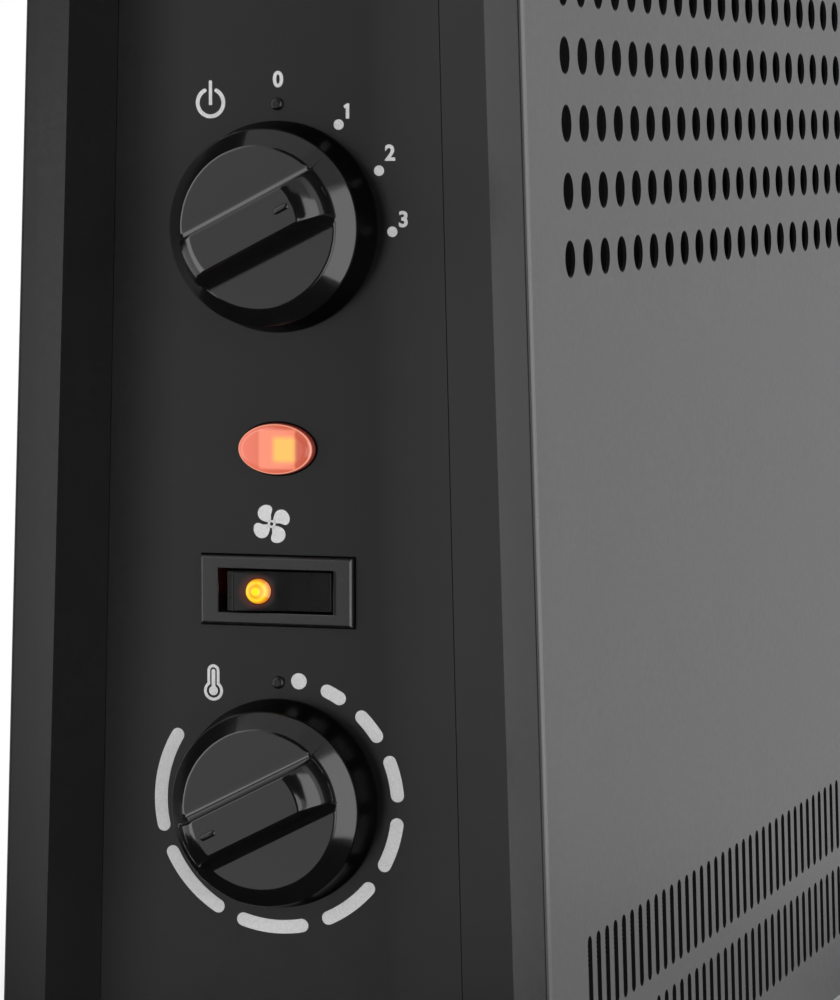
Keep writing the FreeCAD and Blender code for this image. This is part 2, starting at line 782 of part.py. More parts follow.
# Fan rocker: bezel with its body, paddle on two trunnions, and the lit lens in the paddle
bezel = box(-bezel_wide / 2, bezel_wide / 2, -bezel_tall / 2, bezel_tall / 2, 0, bezel_thick)
bezel = bezel.makeChamfer(bezel_thick / 4, [e for e in bezel.Edges if e.BoundBox.ZMin > bezel_thick / 2])
rocker_box = box(
    -rocker_body_wide / 2, rocker_body_wide / 2,
    -rocker_body_tall / 2, rocker_body_tall / 2,
    -rocker_body_deep, 0,
)
window = box(
    -window_wide / 2, window_wide / 2,
    -window_tall / 2, window_tall / 2,
    -rocker_body_deep + rocker_wall, bezel_thick + 1,
)
pin_reach = rocker_body_tall / 2
pin_hole = cylinder(rocker_pin / 2 + play, (0, -pin_reach, -rocker_pivot_in), (0, 1, 0), 2 * pin_reach)
rocker_housing = on_face(bezel.fuse(rocker_box).cut([window, pin_hole]).removeSplitter(), 0, rocker_z)

paddle_half = window_tall / 2 - rocker_room
end_arm = window_wide / 2 - rocker_room
end_rise = rocker_end_out + rocker_pivot_in - paddle_bevel
tilt = math.radians(rocker_tilt)
paddle_end = (end_arm - end_rise * math.sin(tilt)) / math.cos(tilt) - slip
paddle_low = rocker_pivot_in + rocker_pin * 1.5
bevel_low = rocker_end_out - paddle_bevel
paddle_points = [
    (-paddle_end, bevel_low), (-paddle_end + paddle_bevel, rocker_end_out), (0, rocker_mid_out),
    (paddle_end - paddle_tip, rocker_end_out), (paddle_end, rocker_end_out - paddle_tip),
    (paddle_end - rocker_wall / 2, -rocker_pivot_in), (rocker_pin * 1.5, -paddle_low),
    (-rocker_pin * 1.5, -paddle_low), (-paddle_end + rocker_wall / 2, -rocker_pivot_in),
]
paddle = prism([(u, -paddle_half, w) for u, w in paddle_points], (0, 2 * paddle_half, 0))
pin_start = (0, -pin_reach + slip, -rocker_pivot_in)
pins = cylinder(rocker_pin / 2, pin_start, (0, 1, 0), 2 * (pin_reach - slip))
face_slope = math.atan2(rocker_end_out - rocker_mid_out, paddle_end - paddle_bevel)
led_level = rocker_mid_out + led_offset * math.tan(face_slope)
led_axis = (math.sin(face_slope), 0, math.cos(face_slope))
led = revolve([
    (0, -led_deep), (led_diameter / 2, -led_deep), (led_diameter / 2, 0),
    (led_diameter / 4, led_dome * 0.8), (0, led_dome),
])
led_spot = (-led_offset, 0, led_level)
led_seat = Part.makeCylinder(led_diameter / 2 + play, 4 * led_deep, Vector(0, 0, -led_deep))
led_seat = pointing(led_seat, led_spot, led_axis)
led = pointing(led, led_spot, led_axis)
paddle = paddle.fuse(pins).cut(led_seat).removeSplitter()


def tilted(solid):
    """The paddle's pieces at rest: the end towards the rear stands out."""
    placed = solid.copy()
    placed.rotate(Vector(0, 0, -rocker_pivot_in), Vector(0, 1, 0), rocker_tilt)
    return on_face(placed, 0, rocker_z)


rocker_paddle = tilted(paddle)
rocker_lens = tilted(led)

# Heating elements: rods with X-shaped fins, in ceramic bushes at both end plates
fin_half = abs(plate_in_x) - fin_gap


def finned(y, z):
    core = cylinder(fin_core / 2, (-fin_half, y, z), (1, 0, 0), 2 * fin_half)
    blades = []
    for turn in (45, 135):
        blade = box(-fin_half, fin_half, -fin_reach, fin_reach, -fin_thick / 2, fin_thick / 2)
        blade.rotate(Vector(0, 0, 0), Vector(1, 0, 0), turn)
        blade.translate(Vector(0, y, z))
        blades.append(blade)
    bore = cylinder(rod_diameter / 2 + play, (-half, y, z), (1, 0, 0), length)
    return core.fuse(blades).cut(bore).removeSplitter()


def ceramic(side, y, z):
    """A ceramic bush: flange on the inner side of the end plate, neck through it."""
    seat = side * abs(plate_in_x)
    flange = cylinder(bush_flange / 2, (seat, y, z), (-side, 0, 0), bush_flange_thick)
    neck = cylinder(bush_neck / 2, (seat, y, z), (side, 0, 0), bush_neck_long)
    bore = cylinder(rod_diameter / 2 + play, (-half, y, z), (1, 0, 0), length)
    return flange.fuse(neck).cut(bore).removeSplitter()


element_fin_front = finned(*element_spots[0])
element_fin_rear = finned(*element_spots[1])
element_rods = []
element_bushes = []
rod_half = abs(plate_out_x) + rod_out
for y, z in element_spots:
    element_rods.append(cylinder(rod_diameter / 2, (-rod_half, y, z), (1, 0, 0), 2 * rod_half))
    for side in (-1, 1):
        element_bushes.append(ceramic(side, y, z))

# Heat shield behind the elements, between the two end plates
shield_half = abs(plate_in_x) - slip
heat_shield = box(
    -shield_half, shield_half,
    shield_place, shield_place + shield_thick,
    base + shield_low, casing_top - shield_high,
)

# Thermal cut-out on the hot side of the control end plate, and terminal block on its other side
thermal_cutout = cylinder(cutout_diameter / 2, (plate_in_x, 0, base + cutout_height), (1, 0, 0), cutout_deep)
block_z = base + block_height
terminal_block = box(
    plate_out_x - block_deep, plate_out_x,
    -block_wide / 2, block_wide / 2,
    block_z, block_z + block_tall,
)

# Cord gland, a bush through the floor of the control end cap
gland_parts = [
    cylinder(gland_neck / 2, (gland_x, gland_back, cap_floor - gland_outside), (0, 0, 1),
             gland_outside + cap_floor_top - cap_floor + gland_inside),
    cylinder(gland_flange / 2, (gland_x, gland_back, cap_floor), (0, 0, -1), gland_flange_thick),
]
gland_through = cylinder(gland_bore / 2, (gland_x, gland_back, 0), (0, 0, 1), casing_top)
cord_gland = gland_parts[0].fuse(gland_parts[1]).cut(gland_through).removeSplitter()

# Fan plate with its mouth, standing on the bottom grille
fan_z = grille_top + fan_stand
fan_top = fan_z + fan_plate_thick
fan_plate = pierced_sheet(
    fan_plate_long / 2, -fan_plate_wide / 2, fan_plate_wide / 2, fan_plate_thick,
    [round_wire(0, 0, fan_mouth / 2)],
)
fan_plate.translate(Vector(fan_place, 0, fan_z))
leg_x = fan_plate_long / 2 - fan_leg
leg_y = fan_plate_wide / 2 - fan_leg
for i in (-1, 1):
    for j in (-1, 1):
        leg = cylinder(fan_leg / 2, (fan_place + i * leg_x, j * leg_y, grille_top), (0, 0, 1), fan_stand)
        fan_plate = fan_plate.fuse(leg)
fan_plate = fan_plate.removeSplitter()

# Impeller with pitched blades round a hub
impeller_z = fan_z - impeller_sink
impeller_top = impeller_z + impeller_tall
motor_bore = motor_shaft_diameter / 2 + play
fan_impeller = Part.makeCylinder(impeller_hub / 2, impeller_tall)
blade_reach = impeller_diameter / 2
blade_wide = impeller_tall * 0.9 / math.sin(math.radians(blade_pitch))
sweep = revolve([(0, 0), (blade_reach, 0), (blade_reach, impeller_tall), (0, impeller_tall)])
for i in range(blade_count):
    blade = box(0, 2 * blade_reach, -blade_wide / 2, blade_wide / 2, -blade_thick / 2, blade_thick / 2)
    blade.rotate(Vector(0, 0, 0), Vector(1, 0, 0), blade_pitch)
    blade.translate(Vector(0, 0, impeller_tall / 2))
    blade.rotate(Vector(0, 0, 0), Vector(0, 0, 1), 360 * i / blade_count)
    fan_impeller = fan_impeller.fuse(blade.common(sweep))
hub_bore = Part.makeCylinder(motor_bore, 3 * impeller_tall, Vector(0, 0, -impeller_tall))
fan_impeller = fan_impeller.cut(hub_bore).removeSplitter()
fan_impeller.translate(Vector(fan_place, 0, impeller_z))

# Shaded-pole motor above the impeller: laminated core, coil, rotor, shaft and two bearing straps
hub_rise = (bearing_long - strap_thick) / 2
core_z = impeller_top + motor_gap + hub_rise + strap_thick + strap_stand
core_top = core_z + core_thick
motor_core = box(
    fan_place - core_ahead, fan_place + core_behind, -core_half, core_half, core_z, core_top
)
bore = cylinder(rotor_diameter / 2 + rotor_gap, (fan_place, 0, core_z - 1), (0, 0, 1), core_thick + 2)
coil_window = box(
    fan_place + window_from, fan_place + window_to,
    -core_window_half, core_window_half, core_z - 1, core_top + 1,
)
motor_core = motor_core.cut([bore, coil_window])
coil_outer = box(
    fan_place + window_to - coil_wall, fan_place + core_behind + coil_wall,
    -coil_half, coil_half, core_z - coil_wall, core_top + coil_wall,
)
limb = box(
    fan_place + window_to - slip, fan_place + core_behind + slip,
    -core_half, core_half, core_z - slip, core_top + slip,
)
motor_coil = coil_outer.cut(limb)
outer_edges = []
for edge in motor_coil.Edges:
    along_limb = abs(edge.tangentAt(edge.FirstParameter).y) > 0.9
    beyond_core = abs(edge.CenterOfMass.z - (core_z + core_top) / 2) > (core_thick + coil_wall) / 2
    if along_limb and beyond_core:
        outer_edges.append(edge)
motor_coil = motor_coil.makeFillet(coil_wall / 3, outer_edges)


def strap(direction):
    """A bearing strap above (1) or below (-1) the core, with legs to the core and a bearing hub."""
    seat = core_top if direction > 0 else core_z
    near = seat + direction * strap_stand
    far = near + direction * strap_thick
    low, high = sorted((near, far))
    x0 = fan_place - strap_wide / 2
    x1 = fan_place + strap_wide / 2
    cross = box(x0, x1, -core_half, core_half, low, high)
    pieces = []
    for side in (-1, 1):
        y0, y1 = sorted((side * core_half, side * (core_half - strap_leg)))
        leg_low, leg_high = sorted((seat, near))
        pieces.append(box(x0, x1, y0, y1, leg_low, leg_high))
    hub_low = (low + high) / 2 - bearing_long / 2
    pieces.append(cylinder(bearing_hub / 2, (fan_place, 0, hub_low), (0, 0, 1), bearing_long))
    if direction < 0:
        end = fan_plate_long / 2 - 2 * fan_leg - strap_leg
        reach = fan_place + end
        start = fan_place - end
        pieces.append(box(start, reach, -strap_wide / 2, strap_wide / 2, low, high))
        pieces.append(box(start, start + strap_leg, -strap_wide / 2, strap_wide / 2, fan_top, low))
        pieces.append(box(reach - strap_leg, reach, -strap_wide / 2, strap_wide / 2, fan_top, low))
    through = cylinder(motor_bore, (fan_place, 0, 0), (0, 0, 1), casing_top)
    return cross.fuse(pieces).cut(through).removeSplitter()


lower_bearing_strap = strap(-1)
upper_bearing_strap = strap(1)
motor_rotor = cylinder(rotor_diameter / 2, (fan_place, 0, core_z), (0, 0, 1), core_thick)
motor_rotor = motor_rotor.cut(cylinder(motor_bore, (fan_place, 0, 0), (0, 0, 1), casing_top))
shaft_top = core_top + strap_stand + bearing_long
shaft_long = shaft_top - impeller_z
motor_shaft = cylinder(motor_shaft_diameter / 2, (fan_place, 0, impeller_z), (0, 0, 1), shaft_long)


# Leads from the terminal block to the controls, in straight runs with round bends
def lead(points):
    corners = [Vector(*p) for p in points]
    edges = []
    start = corners[0]
    for before, corner, after in zip(corners, corners[1:], corners[2:]):
        inwards = (before - corner).normalize()
        onwards = (after - corner).normalize()
        half_turn = inwards.getAngle(onwards) / 2
        setback = lead_bend / math.tan(half_turn)
        first = corner + inwards * setback
        last = corner + onwards * setback
        bisector = (inwards + onwards).normalize()
        middle = corner + bisector * (lead_bend / math.sin(half_turn) - lead_bend)
        edges.append(Part.makeLine(start, first))
        edges.append(Part.Arc(first, middle, last).toShape())
        start = last
    edges.append(Part.makeLine(start, corners[-1]))
    direction = corners[1] - corners[0]
    circle = Part.Wire(Part.makeCircle(lead_diameter / 2, corners[0], direction))
    return Part.Wire(edges).makePipeShell([circle], True, False)


lead_x = plate_out_x - 1.5 * lead_diameter
block_top = block_z + block_tall
lamp_end = inner_face_x + lamp_deep
switch_end = inner_face_x + switch_deep
lead_ends = [
    (-block_wide / 4, switch_end, power_z),
    (0, lamp_end, lamp_z),
    (block_wide / 4, switch_end, power_z),
]
internal_leads = []
for y, end_x, z in lead_ends:
    internal_leads.append(lead([(lead_x, y, block_top), (lead_x, y, z), (end_x, y, z)]))

# Write every piece, with the whole heater centred between knob and plain end
pieces = {
    "front_panel": front_panel,
    "rear_panel": rear_panel,
    "top_grille": top_grille,
    "bottom_grille": bottom_grille,
    "control_end_cap": control_end_cap,
    "plain_end_cap": plain_end_cap,
    "control_end_plate": control_end_plate,
    "plain_end_plate": plain_end_plate,
    "cap_screws": cap_screws,
    "case_screws": case_screws,
    "control_side_foot": control_side_foot,
    "plain_side_foot": plain_side_foot,
    "foot_pads": foot_pads,
    "foot_screws": foot_screws,
    "power_knob": power_knob,
    "power_shaft": power_shaft,
    "rotary_switch": rotary_switch,
    "thermostat_knob": thermostat_knob,
    "thermostat_shaft": thermostat_shaft,
    "thermostat": thermostat,
    "bush_nuts": bush_nuts,
    "indicator_lens": indicator_lens,
    "indicator_lamp": indicator_lamp,
    "rocker_housing": rocker_housing,
    "rocker_paddle": rocker_paddle,
    "rocker_lens": rocker_lens,
    "element_fin_front": element_fin_front,
    "element_fin_rear": element_fin_rear,
    "element_rods": element_rods,
    "element_bushes": element_bushes,
    "heat_shield": heat_shield,
    "thermal_cutout": thermal_cutout,
    "terminal_block": terminal_block,
    "internal_leads": internal_leads,
    "cord_gland": cord_gland,
    "fan_plate": fan_plate,
    "fan_impeller": fan_impeller,
    "motor_core": motor_core,
    "motor_coil": motor_coil,
    "motor_rotor": motor_rotor,
    "motor_shaft": motor_shaft,
    "lower_bearing_strap": lower_bearing_strap,
    "upper_bearing_strap": upper_bearing_strap,
}
os.makedirs("parts", exist_ok=True)
for name, piece in pieces.items():
    solid = Part.makeCompound(piece) if isinstance(piece, list) else piece.copy()
    solid.translate(centring)
    print(name, len(solid.Solids), solid.isValid(), round(solid.Volume, 1))
    solid.exportStep("parts/" + name + ".step")
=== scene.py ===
# %% [markdown]
# # A convector heater, dressed in Blender
#
# The solid model of the heater is already made. This lesson loads it, keeps every size and place as it
# is, and gives it the looks of the real thing: satin paint, grained black plastic, printed marks, a lit
# pilot lamp and a lit rocker switch. Blender works in metres here, with +Z up, the control end at -X and
# the front of the heater facing -Y.

import json
import math

import bmesh
import bpy
from mathutils import Matrix, Vector
from mathutils.geometry import intersect_point_line

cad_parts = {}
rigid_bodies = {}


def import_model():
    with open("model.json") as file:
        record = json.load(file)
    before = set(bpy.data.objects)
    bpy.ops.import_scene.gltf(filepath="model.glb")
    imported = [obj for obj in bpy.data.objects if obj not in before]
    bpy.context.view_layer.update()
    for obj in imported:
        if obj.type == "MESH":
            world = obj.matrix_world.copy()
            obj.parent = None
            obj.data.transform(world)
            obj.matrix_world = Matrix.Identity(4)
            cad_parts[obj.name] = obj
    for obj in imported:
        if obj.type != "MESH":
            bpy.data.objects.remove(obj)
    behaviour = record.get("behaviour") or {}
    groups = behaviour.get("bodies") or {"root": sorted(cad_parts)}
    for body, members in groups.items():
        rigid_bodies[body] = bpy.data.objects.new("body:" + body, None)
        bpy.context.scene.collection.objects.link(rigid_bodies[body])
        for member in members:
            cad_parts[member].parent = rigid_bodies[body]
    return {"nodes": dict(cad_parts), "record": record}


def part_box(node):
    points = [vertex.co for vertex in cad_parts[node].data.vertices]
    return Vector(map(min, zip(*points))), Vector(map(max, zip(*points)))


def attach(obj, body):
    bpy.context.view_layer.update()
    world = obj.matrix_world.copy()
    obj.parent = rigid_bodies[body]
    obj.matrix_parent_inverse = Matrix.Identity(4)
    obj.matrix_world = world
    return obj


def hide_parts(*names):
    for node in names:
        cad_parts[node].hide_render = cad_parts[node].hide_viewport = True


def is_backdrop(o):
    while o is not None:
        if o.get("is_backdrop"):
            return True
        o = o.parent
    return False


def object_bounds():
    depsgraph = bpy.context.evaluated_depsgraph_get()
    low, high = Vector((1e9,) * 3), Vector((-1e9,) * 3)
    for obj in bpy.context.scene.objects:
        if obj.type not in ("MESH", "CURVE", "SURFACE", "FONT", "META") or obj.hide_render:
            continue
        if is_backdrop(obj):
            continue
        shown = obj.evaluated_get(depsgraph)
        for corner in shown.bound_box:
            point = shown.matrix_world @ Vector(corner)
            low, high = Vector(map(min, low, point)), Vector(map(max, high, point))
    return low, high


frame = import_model()
nodes = frame["nodes"]
cad_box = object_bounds()
scene = bpy.context.scene
MM = 0.001
print("solid model from", [round(v, 4) for v in cad_box[0]], "to", [round(v, 4) for v in cad_box[1]])

# %% [markdown]
# ## The camera
#
# The photograph was taken from about a metre away with a long lens, looking at the control end from the
# front corner and slightly from above. The holes of the front panel lie on a regular grid, so their
# places in the picture give the camera's place, its direction and its lens. Those are the values here.
# A camera looks along its own -Z axis, so a quarter turn about X makes it look level along +Y first.

# %% Place the camera
PICTURE_TALL = 1000
FOCAL_PIXELS = 4648
SENSOR_TALL = 36
CAMERA_PLACE = Vector((-1150.9, -296.3, 273.5)) * MM
CAMERA_YAW = math.radians(17.18)
CAMERA_PITCH = math.radians(4.55)


def placed(name, data):
    """A new object at the origin of the scene."""
    thing = bpy.data.objects.new(name, data)
    scene.collection.objects.link(thing)
    return thing


camera_data = bpy.data.cameras.new("camera")
camera_data.sensor_fit = "VERTICAL"
camera_data.sensor_height = SENSOR_TALL
camera_data.lens = SENSOR_TALL * FOCAL_PIXELS / PICTURE_TALL
camera = placed("camera", camera_data)
camera.location = CAMERA_PLACE
camera.rotation_euler = (math.pi / 2 - CAMERA_PITCH, 0, CAMERA_YAW - math.pi / 2)
scene.camera = camera
print("lens", round(camera_data.lens, 1), "mm")

# %% [markdown]
# ## Sums with nodes
#
# Much of what follows is arithmetic in nodes: how far a place lies from an axis, or how far along a strip.
# As single nodes and links, a short formula fills a page. So a small class stands for one output of a node,
# and Python's own signs work on it: a + b makes a Math node that adds, with both linked to it. The other
# helpers make any node in a line, and fill its inputs with numbers, colours or other nodes' outputs.


# %% Helpers for nodes
class Output:
    """One output of a node, to do sums with."""

    def __init__(self, tree, socket):
        self.tree = tree
        self.socket = socket

    def worked(self, operation, *others):
        """What a Math node makes of this output and others."""
        return made(self.tree, "ShaderNodeMath", dict(enumerate((self, *others))), operation=operation)

    def __add__(self, other):
        return self.worked("ADD", other)

    def __sub__(self, other):
        return self.worked("SUBTRACT", other)

    def __rsub__(self, other):
        return self * -1 + other

    def __mul__(self, other):
        return self.worked("MULTIPLY", other)

    def __truediv__(self, other):
        return self.worked("DIVIDE", other)

    def __abs__(self):
        return self.worked("ABSOLUTE")

    def mapped(self, start, end, low=0, high=1, smooth=False):
        """Spreads the stretch from start to end over low to high, and stays level beyond it."""
        ranges = {"Value": self, "From Min": start, "From Max": end, "To Min": low, "To Max": high}
        curve = "SMOOTHSTEP" if smooth else "LINEAR"
        return made(self.tree, "ShaderNodeMapRange", ranges, interpolation_type=curve)


def fill(socket, value):
    """Gives an input a plain value, an output, or every output of a list. A colour has three numbers."""
    if isinstance(value, list):
        for item in value:
            fill(socket, item)
    elif isinstance(value, Output):
        value.tree.links.new(value.socket, socket)
    elif socket.type == "RGBA":
        socket.default_value = (*value, 1)
    else:
        socket.default_value = value


def made(tree, kind, inputs=None, output=0, **settings):
    """A new node with its settings made and its inputs filled. Returns one of its outputs."""
    node = tree.nodes.new(kind)
    for name, value in settings.items():
        setattr(node, name, value)
    for name, value in (inputs or {}).items():
        fill(node.inputs[name], value)
    return Output(tree, node.outputs[output])


def vector(tree, x, y, z):
    """A vector from three numbers or outputs."""
    return made(tree, "ShaderNodeCombineXYZ", {"X": x, "Y": y, "Z": z})


def parts_of(whole):
    """The X, Y and Z of a vector."""
    first = made(whole.tree, "ShaderNodeSeparateXYZ", {"Vector": whole})
    return [Output(whole.tree, socket) for socket in first.socket.node.outputs]


def mixed(mask, below, above):
    """One colour over another by a mask. The numbers are the Mix node's sockets for colours."""
    return made(mask.tree, "ShaderNodeMix", {0: mask, 6: below, 7: above}, output=2, data_type="RGBA")


# %% [markdown]
# ## How the finishes are made
#
# Every finish here is a Principled shader with a few nodes in front of it. A fine grain laid over the surface
# as bump looks like a mould's texture or a sprayed paint's orange peel. A colour or a roughness that wanders
# a little makes a surface look less even. All of them read Object coordinates. Since every piece sits at the
# origin, these are the same as places on the heater, in metres, so a scale of 1000 makes a pattern of about
# a millimetre.

# %% A class for finishes
GRAIN_TALL = 0.1 * MM
SHADE_SPAN = (0.35, 0.65)
DULL_SPAN = (0.3, 0.7)
DEPTH_SOFT = 0.3 * MM
finishes = {}


class Finish:
    """A material with one Principled shader, whose constant values sit on the shader's own sockets."""

    def __init__(self, name, color, roughness, specular=0.5, metallic=0.0):
        self.material = bpy.data.materials.new(name)
        self.material.use_nodes = True
        self.tree = self.material.node_tree
        self.shader = self.tree.nodes["Principled BSDF"]
        self.give("Base Color", color)
        self.give("Roughness", roughness)
        self.give("Specular IOR Level", specular)
        self.give("Metallic", metallic)
        finishes[name] = self

    def give(self, name, value):
        """Fills one of the shader's inputs."""
        fill(self.shader.inputs[name], value)

    def places(self):
        """The X, Y and Z of the piece's own coordinates."""
        return parts_of(made(self.tree, "ShaderNodeTexCoord", output="Object"))

    def noise(self, scale, detail=2.0, stretch=(1, 1, 1)):
        """A noise over the piece's own coordinates."""
        place = made(self.tree, "ShaderNodeTexCoord", output="Object")
        stretched = made(self.tree, "ShaderNodeMapping", {"Vector": place, "Scale": stretch})
        inputs = {"Vector": stretched, "Scale": scale, "Detail": detail}
        return made(self.tree, "ShaderNodeTexNoise", inputs, output="Fac")

    def grain(self, scale, strength, height=GRAIN_TALL, detail=2.0, stretch=(1, 1, 1)):
        """Fine bump from a noise."""
        inputs = {"Strength": strength, "Distance": height, "Height": self.noise(scale, detail, stretch)}
        self.give("Normal", made(self.tree, "ShaderNodeBump", inputs))

    def shades(self, scale, low, high, detail=2.0):
        """Lets the colour wander between two shades."""
        self.give("Base Color", mixed(self.noise(scale, detail).mapped(*SHADE_SPAN), low, high))

    def dulls(self, scale, low, high):
        """Lets the roughness wander between two values."""
        self.give("Roughness", self.noise(scale).mapped(*DULL_SPAN, low, high))

    def rises(self, distance, start, end, tall, where=1):
        """Bump that grows with the square from one distance to another, under the grain that is there."""
        share = distance.mapped(start, end)
        rise = made(self.tree, "ShaderNodeBump", {"Distance": tall, "Height": share * share * where})
        fine_grain = self.shader.inputs["Normal"].links[0].from_node
        fill(fine_grain.inputs["Normal"], rise)

    def changes_at(self, depth, name, outside, inside):
        """Lets one of the shader's values change at a depth behind the control face."""
        x = self.places()[0]
        self.give(name, x.mapped(depth - DEPTH_SOFT, depth + DEPTH_SOFT, outside, inside))


# %% [markdown]
# ## Casing paint
#
# The casing is sheet steel with a satin, dark grey powder paint. Powder flows out as it bakes, so close by
# it has a shallow orange peel of a millimetre or two. The walls of the punched holes and slots lie in shade,
# so their colour is darkened as painted shade and their shine is taken down. The walls that show look along
# the heater, as no open painted face does, so the direction of a face picks them out.

# %% Satin paint, with painted shade in the holes
WALL_TURN = 0.5


def grey(level):
    return (level, level, level)


def paint_shade_in_holes(finish, color, specular):
    """Paints shade on the faces that look along the heater: a darker colour and less shine."""
    facing = made(finish.tree, "ShaderNodeNewGeometry", output="True Normal")
    hole_shade = abs(parts_of(facing)[0]).mapped(WALL_TURN / 2, WALL_TURN)
    paint = Output(finish.tree, finish.shader.inputs["Base Color"].links[0].from_socket)
    shine = finish.shader.inputs["Specular IOR Level"].default_value
    finish.give("Base Color", mixed(hole_shade, paint, color))
    finish.give("Specular IOR Level", hole_shade.mapped(0, 1, shine, specular))


casing_paint = Finish("casing_paint", grey(0.031), roughness=0.36, specular=0.175)
casing_paint.grain(scale=900, strength=0.03, detail=3)
casing_paint.shades(scale=35, low=grey(0.03), high=grey(0.032))
casing_paint.dulls(scale=700, low=0.34, high=0.37)
# Painted shade: the walls of the holes and slots get a near-black colour and little shine.
paint_shade_in_holes(casing_paint, grey(0.008), specular=0.02)
print("casing paint has", len(casing_paint.tree.nodes), "nodes")

# %% [markdown]
# ## Black plastics
#
# The end caps are moulded in black plastic with a fine spark-eroded grain, which makes them duller than the
# knobs. Knobs and rocker come out of polished moulds, so they mirror the studio softly. A knob's skirt
# behind its front ring is dull, and its colour is made darker as painted shade, so it is almost lost in the
# dark.
#
# The flat face between a cap's wings isn't quite flat. Over its last 15 mm it rises a little towards the
# crease, as moulded faces do. That is too shallow to model, but the light shows it, so the cap's bump has
# it: a height that grows with the square of the distance past the start of the rise. The knobs' flats run
# up to the grip in the same way.

# %% Cap and knobs
FACE_HALF = 35.6 * MM
FACE_LEAN = 0.0255
FACE_REFERENCE = 200 * MM
RISE_RUN = 15 * MM
RISE_TALL = 1.0 * MM
KNOB_SKIRT = 8.5 * MM
GRIP_TURN = math.radians(63)
GRIP_FOOT = 5.3 * MM
FLAT_RADIUS = 15.8 * MM
FILLET_RUN = 1.5 * MM
FILLET_TALL = 0.5 * MM


def middle_of(node):
    low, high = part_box(node)
    return (low + high) / 2


def half_of(node):
    low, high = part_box(node)
    return (high - low) / 2


def blend_towards_creases(finish):
    """Lifts the control face towards its two creases."""
    y, z = finish.places()[1:]
    half = (FACE_REFERENCE - z) * FACE_LEAN + (FACE_HALF - RISE_RUN)
    finish.rises(abs(y) - half, 0, RISE_RUN, RISE_TALL)


def blend_towards_grip(finish):
    """Lifts the knobs' flats towards the foot of the grip. Both grips lie along the same direction."""
    y, z = finish.places()[1:]
    low_z = middle_of("thermostat_knob").z
    apart = middle_of("power_knob").z - low_z
    is_upper = z.worked("GREATER_THAN", low_z + apart / 2)
    up = z - (is_upper * apart + low_z)
    from_grip = abs(y * math.cos(GRIP_TURN) + up * math.sin(GRIP_TURN))
    on_flat = (up * up + y * y).worked("LESS_THAN", FLAT_RADIUS ** 2)
    finish.rises(from_grip, GRIP_FOOT + FILLET_RUN, GRIP_FOOT, FILLET_TALL, where=on_flat)


cap_plastic = Finish("cap_plastic", grey(0.0045), roughness=0.25, specular=0.36)
cap_plastic.grain(scale=2600, strength=0.06, detail=3)
cap_plastic.shades(scale=90, low=grey(0.0042), high=grey(0.0048))
cap_plastic.dulls(scale=900, low=0.23, high=0.27)
blend_towards_creases(cap_plastic)

knob_plastic = Finish("knob_plastic", grey(0.004), roughness=0.13, specular=0.56)
knob_plastic.grain(scale=1800, strength=0.02)
blend_towards_grip(knob_plastic)
skirt_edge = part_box("power_knob")[1].x - KNOB_SKIRT
knob_plastic.changes_at(skirt_edge, "Roughness", outside=0.13, inside=0.3)
knob_plastic.changes_at(skirt_edge, "Specular IOR Level", outside=0.56, inside=0.03)
# Painted shade: the skirt's colour is darker than the front ring's.
knob_plastic.changes_at(skirt_edge, "Base Color", outside=0.004, inside=0.001)
print("knob's skirt starts at x =", round(skirt_edge, 4))

# %% [markdown]
# ## Other plastics and rubber
#
# Feet and pads are coarser and duller than the caps. The switches inside are cream, as such switches mostly
# are, and the impeller is black.

# %% Rocker, feet, pads, switches and impeller
rocker_plastic = Finish("rocker_plastic", grey(0.005), roughness=0.3, specular=0.58)
rocker_plastic.grain(scale=3000, strength=0.08)
rocker_plastic.dulls(scale=800, low=0.27, high=0.34)

foot_plastic = Finish("foot_plastic", grey(0.008), roughness=0.5, specular=0.35)
foot_plastic.grain(scale=2200, strength=0.3, detail=3)
foot_plastic.dulls(scale=700, low=0.45, high=0.55)

pad_rubber = Finish("pad_rubber", grey(0.01), roughness=0.8, specular=0.25)
pad_rubber.grain(scale=1500, strength=0.4, detail=4)

switch_plastic = Finish("switch_plastic", (0.45, 0.41, 0.33), roughness=0.5)
switch_plastic.grain(scale=1800, strength=0.15)
switch_plastic.shades(scale=200, low=(0.42, 0.38, 0.3), high=(0.48, 0.44, 0.36))

impeller_plastic = Finish("impeller_plastic", grey(0.03), roughness=0.45)
impeller_plastic.grain(scale=1500, strength=0.15)
print("finishes so far:", ", ".join(finishes))

# %% [markdown]
# ## Metals and the rest
#
# What shows through the holes and slots is dark. The trays and the heat shield are near black and the
# extruded fins are dark, as painted shade inside the heater, and the rods are stained by heat. Rolled and
# extruded metal has fine lines along the way it was drawn. A noise that is squeezed along two axes and long
# along the third gives those lines.

# %% Metals, ceramic and insulation
ALONG_HEATER = (0.02, 1, 1)
SHEETS_STACKED = (0.02, 0.02, 1)
WIRES_WOUND = (1, 0.02, 1)
LAYER_TALL = 0.3 * MM

# Painted shade: the trays and the heat shield are near black, for the shade inside the heater.
plated_steel = Finish("plated_steel", grey(0.005), roughness=0.6, specular=0.1)
plated_steel.shades(scale=120, low=grey(0.004), high=grey(0.006), detail=4)
plated_steel.grain(scale=900, strength=0.08)

screw_steel = Finish("screw_steel", grey(0.42), roughness=0.3, metallic=1)
screw_steel.dulls(scale=1200, low=0.24, high=0.38)
screw_steel.grain(scale=2500, strength=0.06)

# Painted shade: the fins are dark, for the shade inside the heater.
fin_aluminium = Finish("fin_aluminium", (0.12, 0.12, 0.125), roughness=0.5, metallic=1)
fin_aluminium.grain(scale=1500, strength=0.15, stretch=ALONG_HEATER)
fin_aluminium.dulls(scale=300, low=0.45, high=0.58)

